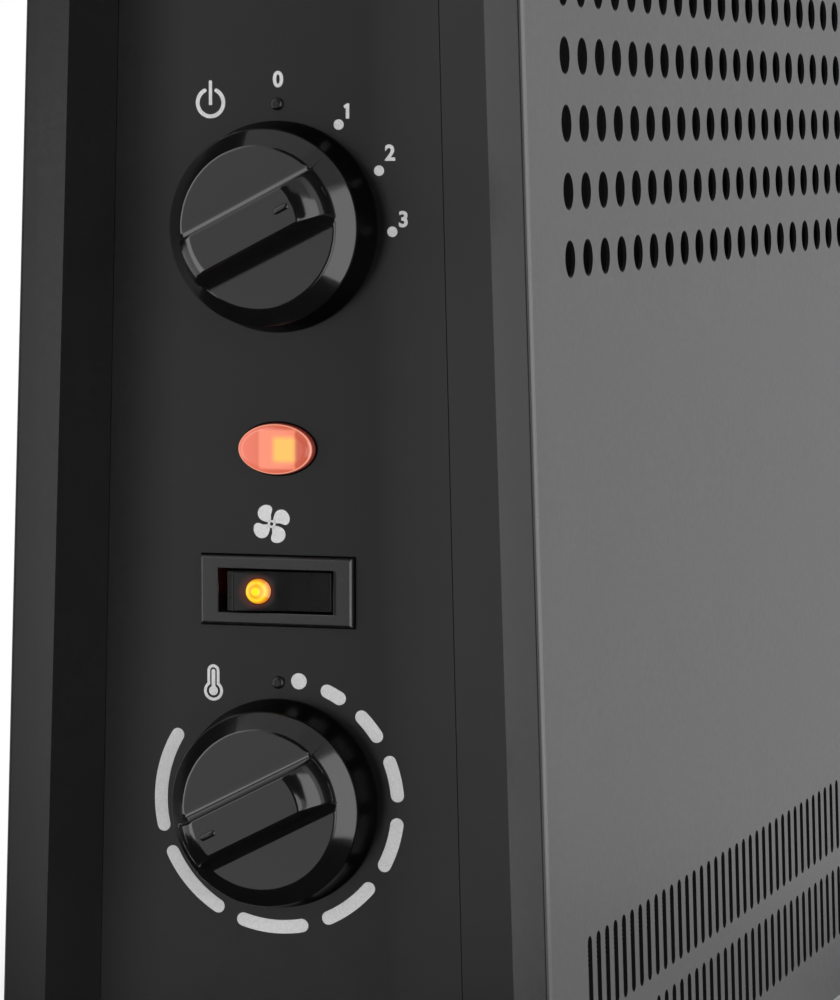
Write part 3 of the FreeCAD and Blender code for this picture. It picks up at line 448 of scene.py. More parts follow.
rod_steel = Finish("rod_steel", (0.25, 0.22, 0.2), roughness=0.45, metallic=1)
rod_steel.shades(scale=60, low=(0.16, 0.14, 0.14), high=(0.34, 0.28, 0.22))

core_steel = Finish("core_steel", grey(0.2), roughness=0.5, metallic=1)
core_steel.grain(scale=2200, strength=0.6, height=LAYER_TALL, stretch=SHEETS_STACKED)

coil_copper = Finish("coil_copper", (0.45, 0.2, 0.08), roughness=0.35, metallic=1)
coil_copper.grain(scale=2200, strength=0.6, height=LAYER_TALL, stretch=WIRES_WOUND)

bush_ceramic = Finish("bush_ceramic", (0.75, 0.73, 0.67), roughness=0.6)
bush_ceramic.grain(scale=1200, strength=0.2, detail=4)

lead_insulation = Finish("lead_insulation", (0.5, 0.5, 0.47), roughness=0.55)
lead_insulation.grain(scale=1500, strength=0.1)
print(len(finishes), "finishes so far")

# %% [markdown]
# ## The pilot lamp's lens
#
# The lens is frosted plastic with a lamp behind it. Its square lamp shows through as a paler patch, with a
# warmer one beside it where the light is strongest. Instead of lighting a real lamp through real plastic,
# which renders slowly and full of specks, the lens gets its glow as emission. Small boxes of distance,
# measured in the piece's own coordinates, give the two soft patches. The square of an oval distance gives
# the lens a painted highlight along its rim and painted shade at its edge, where it meets the cap.

# %% Red lens
LENS_LEFT = (0.79, 0.2, 0.125)
LENS_RIGHT = (0.42, 0.08, 0.045)
PALE_PATCH = {"aside": 0.6, "half": (3.7, 3.9), "edge": 0.35, "color": (0.86, 0.27, 0.165)}
WARM_PATCH = {"aside": 2.1, "half": (2.2, 2.4), "edge": 0.8, "color": (0.93, 0.56, 0.11)}
PAINTED_RIM_HIGHLIGHT = {"start": 0.84, "end": 0.88, "color": (0.85, 0.36, 0.24)}
PAINTED_EDGE_SHADE = {"start": 0.91, "end": 0.95, "color": (0.06, 0.008, 0.006)}
LENS_LEVEL = 0.95


def soft_box_mask(finish, y, z, halves, edge):
    """1 inside a box on the control face, falling to 0 over a soft edge."""
    masks = []
    for place, middle, half in zip(finish.places()[1:], (y, z), halves):
        masks.append(abs(place - middle).mapped(half - edge, half + edge, 1, 0, smooth=True))
    return masks[0] * masks[1]


def out_from(finish, middle, half_y, half_z):
    """The square of an oval distance on the control face: 0 in the middle, 1 at the half sizes."""
    y, z = finish.places()[1:]
    right = (y - middle.y) / half_y
    up = (z - middle.z) / half_z
    return right * right + up * up


lens = middle_of("indicator_lens")
lens_half = half_of("indicator_lens")
red_lens = Finish("red_lens", (0.13, 0.02, 0.013), roughness=0.2)
red_lens.grain(scale=900, strength=0.1)
across = red_lens.places()[1].mapped(lens.y + lens_half.y, lens.y - lens_half.y)
glow = mixed(across, LENS_LEFT, LENS_RIGHT)
for patch in (PALE_PATCH, WARM_PATCH):
    halves = [half * MM for half in patch["half"]]
    mask = soft_box_mask(red_lens, lens.y - patch["aside"] * MM, lens.z, halves, patch["edge"] * MM)
    glow = mixed(mask, glow, patch["color"])
out = out_from(red_lens, lens, lens_half.y, lens_half.z)
# Painted highlight round the lens's rim and painted shade at its edge.
for ring in (PAINTED_RIM_HIGHLIGHT, PAINTED_EDGE_SHADE):
    glow = mixed(out.mapped(ring["start"], ring["end"]), glow, ring["color"])
red_lens.give("Emission Color", glow)
red_lens.give("Emission Strength", LENS_LEVEL)
print("red lens has", len(red_lens.tree.nodes), "nodes")

# %% [markdown]
# ## The rocker's lamp and the ink
#
# The amber lens glows most in the middle, with rings round it from the lamp's own lens. The black paddle
# round it, which is duller than its bezel, has a faint glow of the lamp's light painted on it. The white
# marks are silver-grey ink, which looks speckled close by. The thin lines of painted shadow are as good as
# black.

# %% Amber lens, rocker and ink
AMBER_RINGS = {0: (0.95, 0.8, 0.015), 0.25: (0.95, 0.85, 0.02), 0.45: (0.8, 0.33, 0.015),
               0.72: (0.95, 0.74, 0.03), 1: (0.6, 0.16, 0.005)}
AMBER_LEVEL = 1.0
GLOW_COLOR = (1, 0.1, 0.03)
GLOW_REACH = 1.6
GLOW_LEVEL = 0.05
WINDOW_HALF = (11.7 * MM, 4.3 * MM)
WINDOW_EDGE = 0.1 * MM
BEZEL_GLOSS = 0.66
PADDLE_GLOSS = 0.22
amber = middle_of("rocker_lens")
amber_radius = half_of("rocker_lens").z


def amber_radii(finish):
    """How many of the amber lens's radii a place lies from the lens's axis."""
    return out_from(finish, amber, amber_radius, amber_radius).worked("SQRT")


amber_lens = Finish("amber_lens", (0.13, 0.045, 0.003), roughness=0.15)
rings = made(amber_lens.tree, "ShaderNodeValToRGB", {"Fac": amber_radii(amber_lens)})
stops = rings.socket.node.color_ramp.elements
for position in list(AMBER_RINGS)[1:-1]:
    stops.new(position)
for stop, color in zip(stops, AMBER_RINGS.values()):
    stop.color = (*color, 1)
amber_lens.give("Emission Color", rings)
amber_lens.give("Emission Strength", AMBER_LEVEL)

# Painted light: a faint glow from the lamp on the paddle round the lens.
painted_lamp_glow = amber_radii(rocker_plastic).mapped(1, GLOW_REACH, GLOW_LEVEL, 0, smooth=True)
rocker_plastic.give("Emission Color", GLOW_COLOR)
rocker_plastic.give("Emission Strength", painted_lamp_glow)
paddle = middle_of("rocker_paddle")
window = soft_box_mask(rocker_plastic, paddle.y, paddle.z, WINDOW_HALF, WINDOW_EDGE)
rocker_plastic.give("Specular IOR Level", window.mapped(0, 1, BEZEL_GLOSS, PADDLE_GLOSS))

print_ink = Finish("print_ink", grey(0.5), roughness=0.55, specular=0.3)
print_ink.shades(scale=5200, low=grey(0.42), high=grey(0.58), detail=4)
print_ink.grain(scale=5200, strength=0.2)
# A near-black finish for lines of painted shadow in gaps and creases.
painted_shadow_black = Finish("painted_shadow_black", grey(0.001), roughness=0.9, specular=0.02)
print("amber lens is", round(2 * amber_radius / MM, 1), "mm across")

# %% [markdown]
# ## Finishes for the solid pieces that stay
#
# Most solids already have the right shape, so they only change their material. The pieces whose edges
# show, such as the caps and knobs, are made again further down.

# %% Dress the solid pieces
slot_of = {part["node"]: part["material_slot"] for part in frame["record"]["subparts"]}


def dress(mesh, finish):
    """Gives a mesh one finish all over."""
    mesh.materials.clear()
    mesh.materials.append(finish.material)


for name, node in nodes.items():
    dress(node.data, finishes[slot_of[name]])
print(len(nodes), "solid pieces dressed")

# %% [markdown]
# ## Soft edges
#
# No moulded or folded piece has a perfectly sharp edge. A rounded edge of half a millimetre catches a thin
# line of light, and that line is most of what makes a render look real. The solid's mesh is loose
# triangles, so a copy of it is merged first and its flat faces become single faces again. Then a Bevel
# modifier rounds every outer edge that turns by more than a given angle, and less where it would reach
# across a crease close by. Inner corners stay crisp. The faces beside a long shallow crease keep their own
# normal all over, or smooth shading would melt the crease away. The new piece stands in for the solid.

# %% Helpers for meshes
MERGE = 0.002 * MM
FLAT_TURN = 1.8
ROUND_TURN = 24
SHALLOW_TURN = 2.5
LONG_CREASE = 40 * MM
BROAD_FACE = 100 * MM ** 2
CREASE_SHARE = 0.5


def merged(node):
    """The solid's mesh with its triangles joined, ready to edit."""
    work = bmesh.new()
    work.from_mesh(nodes[node].data)
    bmesh.ops.remove_doubles(work, verts=work.verts, dist=MERGE)
    return work


def merged_copy(node):
    """A smooth copy of the solid's mesh with its flat faces whole."""
    work = merged(node)
    bmesh.ops.dissolve_limit(work, angle_limit=math.radians(FLAT_TURN), verts=work.verts, edges=work.edges,
                             delimit={"NORMAL"})
    mesh = bpy.data.meshes.new(node)
    work.to_mesh(mesh)
    work.free()
    mesh.shade_smooth()
    return mesh


def distance_to(creases, edge):
    """How far the middle of an edge lies from the nearest crease that runs past it without meeting it."""
    middle = (edge.verts[0].co + edge.verts[1].co) / 2
    nearest = math.inf
    for crease in creases:
        foot, share = intersect_point_line(middle, *(vert.co for vert in crease.verts))
        if 0 < share < 1 and not set(crease.verts) & set(edge.verts):
            nearest = min(nearest, (middle - foot).length)
    return nearest


def mark_edges(mesh, width):
    """Gives the outer edges their share of the bevel, and makes inner corners and creases sharp."""
    work = bmesh.new()
    work.from_mesh(mesh)
    weight = work.edges.layers.float.new("bevel_weight_edge")
    rounded = []
    creases = []
    for edge in work.edges:
        turn = math.degrees(edge.calc_face_angle(0))
        if turn > ROUND_TURN and edge.is_convex:
            rounded.append(edge)
        elif turn > ROUND_TURN:
            edge.smooth = False
        elif turn > SHALLOW_TURN and edge.calc_length() > LONG_CREASE:
            edge.smooth = False
            creases.append(edge)
    for edge in rounded:
        edge[weight] = min(1, CREASE_SHARE * distance_to(creases, edge) / width)
    work.to_mesh(mesh)
    work.free()


def crisp_beside_creases(mesh):
    """Gives the broad faces that touch a crease their own normal at every corner."""
    normals = [corner.vector.copy() for corner in mesh.corner_normals]
    for face in mesh.polygons:
        sharp = any(mesh.edges[mesh.loops[corner].edge_index].use_edge_sharp for corner in face.loop_indices)
        if sharp and face.area > BROAD_FACE:
            for corner in face.loop_indices:
                normals[corner] = face.normal.copy()
    mesh.normals_split_custom_set(normals)


# %% [markdown]
# ### Pieces
#
# A piece rides on one of the heater's bodies, so that it moves with it. Its modifiers are settled into a
# plain mesh before that, on a work object that goes again.

# %% Helpers for pieces
ROUND_STEPS = 3
EVEN_WEIGHT = 100
body_of = {node: body for body, group in frame["record"]["behaviour"]["bodies"].items() for node in group}


def new_piece(name, mesh, body, slot):
    """An object at the origin that rides on a body and takes a finish."""
    piece = placed(name, mesh)
    dress(mesh, finishes[slot])
    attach(piece, body)
    return piece


def settled(work, name):
    """The plain mesh that a work object and its modifiers come to. The work object goes."""
    graph = bpy.context.evaluated_depsgraph_get()
    plain = bpy.data.meshes.new_from_object(work.evaluated_get(graph))
    start = work.data
    bpy.data.objects.remove(work)
    bpy.data.batch_remove([start])
    plain.name = name
    return plain


def softened(node, name, width):
    """A copy of a solid that stands in for it, with its outer edges rounded where they turn enough."""
    mesh = merged_copy(node)
    mark_edges(mesh, width)
    work = placed(name + "_work", mesh)
    bevel = work.modifiers.new("soft_edge", "BEVEL")
    bevel.width = width
    bevel.segments = ROUND_STEPS
    bevel.limit_method = "WEIGHT"
    bevel.use_clamp_overlap = False
    even = work.modifiers.new("even_shading", "WEIGHTED_NORMAL")
    even.weight = EVEN_WEIGHT
    even.keep_sharp = True
    plain = settled(work, name)
    crisp_beside_creases(plain)
    piece = new_piece(name, plain, body_of[node], slot_of[node])
    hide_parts(node)
    print(name, len(plain.polygons), "faces")


# %% [markdown]
# ## Caps, feet, knobs and switch with soft edges
#
# The end caps and feet are large mouldings, so their edges are rounded by most of a millimetre. The knobs
# and the rocker switch are small and crisp.

# %% Round the edges of the moulded pieces
for node in ("control_end_cap", "plain_end_cap"):
    softened(node, node + "_moulding", width=0.6 * MM)
for node in ("control_side_foot", "plain_side_foot"):
    softened(node, node + "_moulding", width=1.5 * MM)
for node in ("power_knob", "thermostat_knob"):
    softened(node, node + "_moulding", width=0.45 * MM)
softened("rocker_housing", "rocker_bezel", width=0.2 * MM)
softened("rocker_paddle", "rocker_tip", width=0.25 * MM)
softened("foot_pads", "foot_pad_rubbers", width=0.5 * MM)
softened("indicator_lens", "pilot_lens", width=0.3 * MM)

# %% [markdown]
# ## Screws
#
# The solid screws have plain heads. The ones that show, behind the heater and under its feet, get a domed
# head with a cross recess. All the screws of a kind are alike, so a node tree makes one and puts it on
# every point of a small mesh. Each point carries the direction in which its head looks.

# %% A node tree for screws
KINDS = {float: "NodeSocketFloat", int: "NodeSocketInt"}
HEAD_SEGMENTS = 32
HEAD_RINGS = 16
SHANK_SEGMENTS = 24
CROSS_LONG = 1.15
CROSS_WIDE = 0.26
CUT_WIDE = 3


def new_tree(name, sizes):
    """A geometry node tree with a named input for each size. Returns it with its inputs by name."""
    tree = bpy.data.node_groups.new(name, "GeometryNodeTree")
    panel = tree.interface
    panel.new_socket("Geometry", in_out="INPUT", socket_type="NodeSocketGeometry")
    for title, value in sizes.items():
        panel.new_socket(title, in_out="INPUT", socket_type=KINDS[type(value)]).default_value = value
    panel.new_socket("Material", in_out="INPUT", socket_type="NodeSocketMaterial")
    panel.new_socket("Geometry", in_out="OUTPUT", socket_type="NodeSocketGeometry")
    sockets = tree.nodes.new("NodeGroupInput").outputs
    return tree, {socket.name: Output(tree, socket) for socket in sockets}


def end_tree(tree, geometry, material):
    """Ends a tree with real geometry in its material."""
    real = made(tree, "GeometryNodeRealizeInstances", {"Geometry": geometry})
    painted = made(tree, "GeometryNodeSetMaterial", {"Geometry": real, "Material": material})
    fill(tree.nodes.new("NodeGroupOutput").inputs["Geometry"], painted)
    print(tree.name, "has", len(tree.nodes), "nodes")


def attribute(tree, name, kind):
    """What a mesh carries under a name."""
    return made(tree, "GeometryNodeInputNamedAttribute", {"Name": name}, data_type=kind)


def cross_screw_tree():
    tree, given = new_tree("cross_screws", {
        "Head Radius": 3.5, "Head Height": 2.4, "Shank Radius": 1.9, "Shank Length": 12.0})
    radius = given["Head Radius"] * MM
    height = given["Head Height"] * MM
    length = given["Shank Length"] * MM

    def moved(mesh, up=0, scale=(1, 1, 1)):
        inputs = {"Geometry": mesh, "Translation": vector(tree, 0, 0, up), "Scale": scale}
        return made(tree, "GeometryNodeTransform", inputs)

    def block(x, y, z, up):
        return moved(made(tree, "GeometryNodeMeshCube", {"Size": vector(tree, x, y, z)}), up)

    ball = made(tree, "GeometryNodeMeshUVSphere", {"Segments": HEAD_SEGMENTS, "Rings": HEAD_RINGS})
    dome = moved(ball, scale=vector(tree, radius, radius, height))
    long = radius * CROSS_LONG
    wide = radius * CROSS_WIDE
    lower_half = block(radius * CUT_WIDE, radius * CUT_WIDE, height * 2, height * -1)
    cuts = [lower_half, block(long, wide, height, height), block(wide, long, height, height)]
    head = made(tree, "GeometryNodeMeshBoolean", {"Mesh 1": dome, "Mesh 2": cuts}, operation="DIFFERENCE")

    rod = {"Vertices": SHANK_SEGMENTS, "Radius": given["Shank Radius"] * MM, "Depth": length}
    shank = moved(made(tree, "GeometryNodeMeshCylinder", rod), length * -0.5)
    whole = made(tree, "GeometryNodeJoinGeometry", {"Geometry": [head, shank]})

    outward = attribute(tree, "outward", "FLOAT_VECTOR")
    turn = made(tree, "FunctionNodeAlignRotationToVector", {"Vector": outward}, axis="Z")
    inputs = {"Points": given["Geometry"], "Instance": whole, "Rotation": turn}
    end_tree(tree, made(tree, "GeometryNodeInstanceOnPoints", inputs), given["Material"])
    return tree


cross_screws = cross_screw_tree()

# %% [markdown]
# ### From solid screws to points
#
# The points come from the solid itself: each screw is an island of the mesh, its axis joins the middles of
# its two ends, and its head is where it is widest. The modifier's inputs are set by their sockets'
# identifiers. Then the result becomes a plain mesh, and the modifier goes with its work object.

# %% Make the screws
END_DISC = 0.4 * MM
RIM_SHARE = 0.95
HEAD_TURN = math.radians(35)


def grown(name, mesh, tree, values):
    """The plain mesh that a node tree makes of a mesh, with the tree's inputs set by name."""
    work = placed(name + "_work", mesh)
    modifier = work.modifiers.new("tree", "NODES")
    modifier.node_group = tree
    for item in tree.interface.items_tree:
        if item.in_out == "INPUT" and item.name in values:
            modifier[item.identifier] = values[item.name]
    return settled(work, name)


def islands_of(node):
    """The points of each separate screw in a solid."""
    work = merged(node)
    left = set(work.verts)
    islands = []
    for first in work.verts:
        front = {first} & left
        island = set()
        while front:
            island |= front
            left -= front
            front = {edge.other_vert(vert) for vert in front for edge in vert.link_edges} & left
        if island:
            islands.append([vert.co.copy() for vert in work.verts if vert in island])
    work.free()
    return islands


def screw_sizes(points):
    """Where a screw's head sits, the way it looks, and the screw's sizes in millimetres."""
    spans = [max(p[axis] for p in points) - min(p[axis] for p in points) for axis in range(3)]
    along = spans.index(max(spans))
    ends = []
    for pick in (min, max):
        level = pick(p[along] for p in points)
        disc = [p for p in points if abs(p[along] - level) < END_DISC]
        ends.append(sum(disc, Vector()) / len(disc))
    tip, top = ends
    away = [((p - tip) - (p - tip).project(top - tip)).length for p in points]
    head = max(away)
    rims = [p for p, radius in zip(points, away) if radius > RIM_SHARE * head]
    if (rims[0] - tip).length < (rims[0] - top).length:
        tip, top = top, tip
    outward = (top - tip).normalized()
    tall = max((p - tip).dot(outward) for p in points)
    seat = min((p - tip).dot(outward) for p in rims)
    thin = max(radius for p, radius in zip(points, away) if abs((p - tip).dot(outward)) < END_DISC)
    sizes = {"Head Radius": head / MM, "Head Height": (tall - seat) / MM, "Shank Radius": thin / MM,
             "Shank Length": seat / MM}
    return tip + outward * seat, outward, sizes


for node in ("case_screws", "foot_screws"):
    seats, directions, sizes = zip(*[screw_sizes(points) for points in islands_of(node)])
    mesh = bpy.data.meshes.new(node + "_seats")
    mesh.from_pydata(seats, [], [])
    looks = mesh.attributes.new("outward", "FLOAT_VECTOR", "POINT")
    for item, direction in zip(looks.data, directions):
        item.vector = direction
    name = node + "_cross_headed"
    plain = grown(name, mesh, cross_screws, {**sizes[0], "Material": screw_steel.material})
    plain.shade_smooth()
    plain.set_sharp_from_angle(angle=HEAD_TURN)
    piece = new_piece(name, plain, body_of[node], slot_of[node])
    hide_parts(node)
    print(name, len(seats), "screws", {title: round(size, 2) for title, size in sizes[0].items()})

# %% [markdown]
# ## Marks round the knobs
#
# Round a knob lie dots and arcs that all have the same form: a strip of one width, bent round a ring, with
# round ends. A dot is such a strip with no length. So one node tree draws them all. It puts a flat grid on
# each of a number of points, makes the grids real, and then moves every vertex: a vertex's place along its
# grid becomes an angle round the ring, and its place across becomes a distance from the ring. Near the ends
# the strip narrows as a half circle does. Each mark is longer than the one before by the growth.
#
# The tree works in millimetres and degrees, which read well in the modifier's panel.

# %% A node tree for dial marks
STEPS_ALONG = 41
STEPS_ACROSS = 3


def stored(tree, geometry, name, value, kind):
    """Geometry whose points carry a value under a name."""
    inputs = {"Geometry": geometry, "Name": name, "Value": value}
    return made(tree, "GeometryNodeStoreNamedAttribute", inputs, data_type=kind, domain="POINT")


def dial_mark_tree():
    tree, given = new_tree("dial_marks", {
        "Count": 1, "Ring Radius": 20.0, "Width": 2.0, "First Angle": 0.0, "First Sweep": 0.0, "Growth": 0.0,
        "Gap": 0.0, "Last Extra": 0.0, "Thickness": 0.08})
    ring = given["Ring Radius"]

    points = made(tree, "GeometryNodePoints", {"Count": given["Count"]})
    numbered = stored(tree, points, "mark", made(tree, "GeometryNodeInputIndex"), "FLOAT")
    grid = made(tree, "GeometryNodeMeshGrid", {"Vertices X": STEPS_ALONG, "Vertices Y": STEPS_ACROSS})
    flat = stored(tree, grid, "on_grid", made(tree, "GeometryNodeInputPosition"), "FLOAT_VECTOR")
    copies = made(tree, "GeometryNodeInstanceOnPoints", {"Points": numbered, "Instance": flat})
    real = made(tree, "GeometryNodeRealizeInstances", {"Geometry": copies})
    mark = attribute(tree, "mark", "FLOAT")
    grid_x, grid_y = parts_of(attribute(tree, "on_grid", "FLOAT_VECTOR"))[:2]

    # The angles that this mark covers and has before it, in degrees
    is_last = mark.worked("COMPARE", given["Count"] - 1, 0.5)
    sweep = given["First Sweep"] + given["Growth"] * mark + given["Last Extra"] * is_last
    pairs = mark * (mark - 1) * 0.5
    before = mark * (given["First Sweep"] + given["Gap"]) + given["Growth"] * pairs
    centre = given["First Angle"] + before + sweep * 0.5

    # Distance along the strip from its middle, with closer steps near the ends
    half_width = given["Width"] * 0.5
    half_run = sweep.worked("RADIANS") * ring * 0.5
    along = (half_run + half_width) * (grid_x * math.pi).worked("SINE")

    # The strip's half width at that distance
    past = (abs(along) - half_run).worked("MAXIMUM", 0) / half_width
    narrow = half_width * (1 - past * past).worked("MAXIMUM", 0).worked("SQRT")
    across = grid_y * 2 * narrow

    # Bent round the ring, in the plane that faces the viewer of the control end
    angle = centre.worked("RADIANS") + along / ring
    radius = (ring + across) * MM
    place = vector(tree, 0, radius * angle.worked("SINE") * -1, radius * angle.worked("COSINE"))
    bent = made(tree, "GeometryNodeSetPosition", {"Geometry": real, "Position": place})

    # A thin closed slab: the sheet drawn outwards, and the sheet itself as its back
    push = vector(tree, given["Thickness"] * -MM, 0, 0)
    inputs = {"Mesh": bent, "Offset": push, "Offset Scale": 1, "Individual": False}
    drawn = made(tree, "GeometryNodeExtrudeMesh", inputs)
    back = made(tree, "GeometryNodeFlipFaces", {"Mesh": bent})
    both = made(tree, "GeometryNodeJoinGeometry", {"Geometry": [drawn, back]})
    closed = made(tree, "GeometryNodeMergeByDistance", {"Geometry": both, "Distance": MERGE})
    end_tree(tree, closed, given["Material"])
    return tree


dial_marks = dial_mark_tree()

# %% [markdown]
# ## Print the marks
#
# The printed marks lie on the control face, whose place follows from the cap: the face is 5 mm below the
# cap's outermost edge. Ink has hardly any thickness, so a mark is a slab that stands a few hundredths of a
# millimetre out of the face.

# %% Dots and arcs
TROUGH_DEPTH = 5 * MM
INK_OUT = 0.06 * MM
INK_THICK = 0.08 * MM
POWER_SIGN = (13.82 * MM, 278.87 * MM)
face_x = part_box("control_end_cap")[0].x + TROUGH_DEPTH
power_z = middle_of("power_knob").z
thermostat_z = middle_of("thermostat_knob").z


def print_piece(name, mesh, finish=print_ink):
    """A print that rides on the casing."""
    piece = placed(name, mesh)
    dress(mesh, finish)
    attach(piece, "casing")
    print(name, len(mesh.polygons), "faces")


def print_marks(name, y, z, sizes):
    """Dial marks about a point of the control face."""
    values = {**sizes, "Thickness": INK_THICK / MM, "Material": print_ink.material}
    plain = grown(name, bpy.data.meshes.new(name), dial_marks, values)
    plain.transform(Matrix.Translation((face_x - INK_OUT + INK_THICK, y, z)))
    print_piece(name, plain)


print_marks("power_position_dots", 0, power_z, {
    "Count": 3, "Ring Radius": 23.65, "Width": 2.05, "First Angle": 32.4, "Gap": 29.8})
print_marks("thermostat_start_dot", 0, thermostat_z, {
    "Count": 1, "Ring Radius": 24.75, "Width": 3.2, "First Angle": 9.9})
print_marks("thermostat_arcs", 0, thermostat_z, {
    "Count": 8, "Ring Radius": 24.75, "Width": 2.7, "First Angle": 24.2, "First Sweep": 6.5, "Growth": 4.42,
    "Gap": 13.6, "Last Extra": 6.0})
print_marks("power_sign_ring", *POWER_SIGN, {
    "Count": 1, "Ring Radius": 2.68, "Width": 0.78, "First Angle": 27.0, "First Sweep": 306.0})

# %% [markdown]
# ## Figures
#
# Most figures are text objects. The figure 1, and the seams and signs after it, are flat curves that
# Blender fills. All of them are drawn upright in their own plane and then turned onto the control face,
# where the viewer's right is -Y.

# %% Figures from 0 to 3
ONTO_FACE = Matrix(((0, 0, -1), (-1, 0, 0), (0, 1, 0))).to_4x4()
CURVE_STEPS = 8
FIGURE_TALL = 3.05 * MM
FIGURE_SHARE = 0.73
FIGURE_BOLDER = 0.035
FIGURE_PLACES = {"0": (-0.20, 283.27), "2": (-23.17, 268.95), "3": (-25.91, 256.08)}
ONE_PLACE = (-14.39 * MM, 277.21 * MM)
ONE = [(0.45, 1.48), (0.02, 1.48), (-0.72, 1.02), (-0.5, 0.5), (-0.25, 0.64), (-0.25, -1.48), (0.45, -1.48)]


def print_flat(data, y, z, finish=print_ink):
    """Turns a flat text or curve into a print of the same name on the control face."""
    name = data.name
    data.extrude = INK_THICK / 2
    plain = settled(placed(name + "_work", data), name)
    out = face_x - INK_OUT + INK_THICK / 2
    plain.transform(Matrix.Translation((out, y, z)) @ ONTO_FACE)
    print_piece(name, plain, finish)


def flat_curve(name, outlines, smooth=False):
    """A filled flat curve through closed outlines of (right, up) points in millimetres."""
    curve = bpy.data.curves.new(name, "CURVE")
    curve.dimensions = "2D"
    curve.fill_mode = "BOTH"
    curve.resolution_u = CURVE_STEPS
    for outline in outlines:
        spline = curve.splines.new("BEZIER")
        spline.bezier_points.add(len(outline) - 1)
        for point, (right, up) in zip(spline.bezier_points, outline):
            point.co = (right * MM, up * MM, 0)
            point.handle_left_type = "AUTO" if smooth else "VECTOR"
            point.handle_right_type = point.handle_left_type
        spline.use_cyclic_u = True
    return curve


def figure_text(figure):
    """A figure in Blender's own font, a little bolder."""
    text = bpy.data.curves.new("figure_" + figure, "FONT")
    text.body = figure
    text.align_x = "CENTER"
    text.align_y = "CENTER"
    text.size = FIGURE_TALL / FIGURE_SHARE
    text.offset = FIGURE_BOLDER * text.size
    return text


for figure, (y, z) in FIGURE_PLACES.items():
    print_flat(figure_text(figure), y * MM, z * MM)
print_flat(flat_curve("figure_1", [ONE]), *ONE_PLACE)

# %% [markdown]
# ## Painted shadow lines
#
# A thin black line of painted shadow runs round the pilot lens and round the rocker's bezel, where they sit
# in the cap. Where one closed curve lies inside another, the inner one cuts a hole, so two outlines make a
# ring. A fine black line of painted shade runs along each crease of the cap below the finger recess.

# %% Painted shadow lines round the lens, the bezel and the creases
ARC_STEPS = 24
SHADOW_LINE_WIDE = 0.3
LINE_WIDE = 0.09
LINE_INSET = 0.05
LINE_FROM = -148
LINE_TO = 108


def arc(radius, start, end, up=0.0):
    """Points of an arc between two angles, in degrees counter-clockwise from the viewer's right."""
    points = []
    for step in range(ARC_STEPS + 1):
        angle = math.radians(start + (end - start) * step / ARC_STEPS)
        points.append((radius * math.cos(angle), up + radius * math.sin(angle)))
    return points


def circle(radius):
    return arc(radius, 0, 360)[:-1]


def print_shadow_line(name, node, outline, smooth):
    """A thin ring of painted shadow round a node whose outline is given for half sizes of 1."""
    middle = middle_of(node)
    half = half_of(node) / MM
    outlines = []
    for grow in (SHADOW_LINE_WIDE, 0):
        outlines.append([((half.y + grow) * right, (half.z + grow) * up) for right, up in outline])
    print_flat(flat_curve(name, outlines, smooth), middle.y, middle.z, painted_shadow_black)


# Painted shadow round the lens and round the bezel.
print_shadow_line("lens_shadow_line", "indicator_lens", circle(1), smooth=True)
print_shadow_line("bezel_shadow_line", "rocker_housing", [(1, 1), (-1, 1), (-1, -1), (1, -1)], smooth=False)
# Painted shade: a fine black line along each crease of the cap.
crease_shade_lines = []
for side in (-1, 1):
    strip = []
    for up, inward in ((LINE_FROM, 0), (LINE_TO, 0), (LINE_TO, LINE_WIDE), (LINE_FROM, LINE_WIDE)):
        strip.append((side * (FACE_HALF / MM - FACE_LEAN * up - LINE_INSET - inward), up))
    crease_shade_lines.append(strip)
print_flat(flat_curve("crease_shade_lines", crease_shade_lines), 0, FACE_REFERENCE, painted_shadow_black)

# %% [markdown]
# ## Signs
#
# The power sign's ring is already there and only needs its bar. The fan has four blades, one outline turned
# by quarters, and a hub with a hole. The thermometer is three outlines, one in another: the inner one cuts
# a hole in the outer one, and the third inside that is filled again.

# %% Power bar, fan and thermometer
BAR_HALF = 0.33
BAR_TOP = 4.4
BAR_FOOT = -0.45
FAN_SIGN = (1.35 * MM, 196.11 * MM)
BLADE = [(0.42, 0.62), (0.55, 1.66), (1.0, 2.45), (1.85, 2.86), (2.8, 2.68), (3.45, 2.05), (3.74, 1.1),
         (3.4, 0.1), (2.85, -0.12), (1.8, 0.14), (0.75, 0.2)]
HUB_RADIUS = 0.82
HUB_HOLE = 0.36
THERMOMETER = (13.63 * MM, 162.6 * MM)
THERMOMETER_EDGES = ({"bulb": 2.0, "half": 1.26, "top": 5.25}, {"bulb": 1.42, "half": 0.7, "top": 4.68},
                     {"bulb": 0.93, "half": 0.39, "top": 4.3})


def bulb_and_stem(bulb, half, top):
    """Outline of a round bulb about the origin with a round-topped stem above it."""
    meet = math.degrees(math.asin(half / bulb))
    return arc(half, 0, 180, up=top - half) + arc(bulb, 90 + meet, 450 - meet)


bar = arc(BAR_HALF, 0, 180, up=BAR_TOP - BAR_HALF) + [(-BAR_HALF, BAR_FOOT), (BAR_HALF, BAR_FOOT)]
print_flat(flat_curve("power_sign_bar", [bar]), *POWER_SIGN)
fan_blades = []
for quarter in range(4):
    turn = Matrix.Rotation(math.radians(90 * quarter), 2)
    fan_blades.append([tuple(turn @ Vector(point)) for point in BLADE])
print_flat(flat_curve("fan_sign_blades", fan_blades, smooth=True), *FAN_SIGN)
print_flat(flat_curve("fan_sign_hub", [circle(HUB_RADIUS), circle(HUB_HOLE)]), *FAN_SIGN)
thermometer = [bulb_and_stem(**edge) for edge in THERMOMETER_EDGES]
print_flat(flat_curve("thermometer_sign", thermometer), *THERMOMETER)

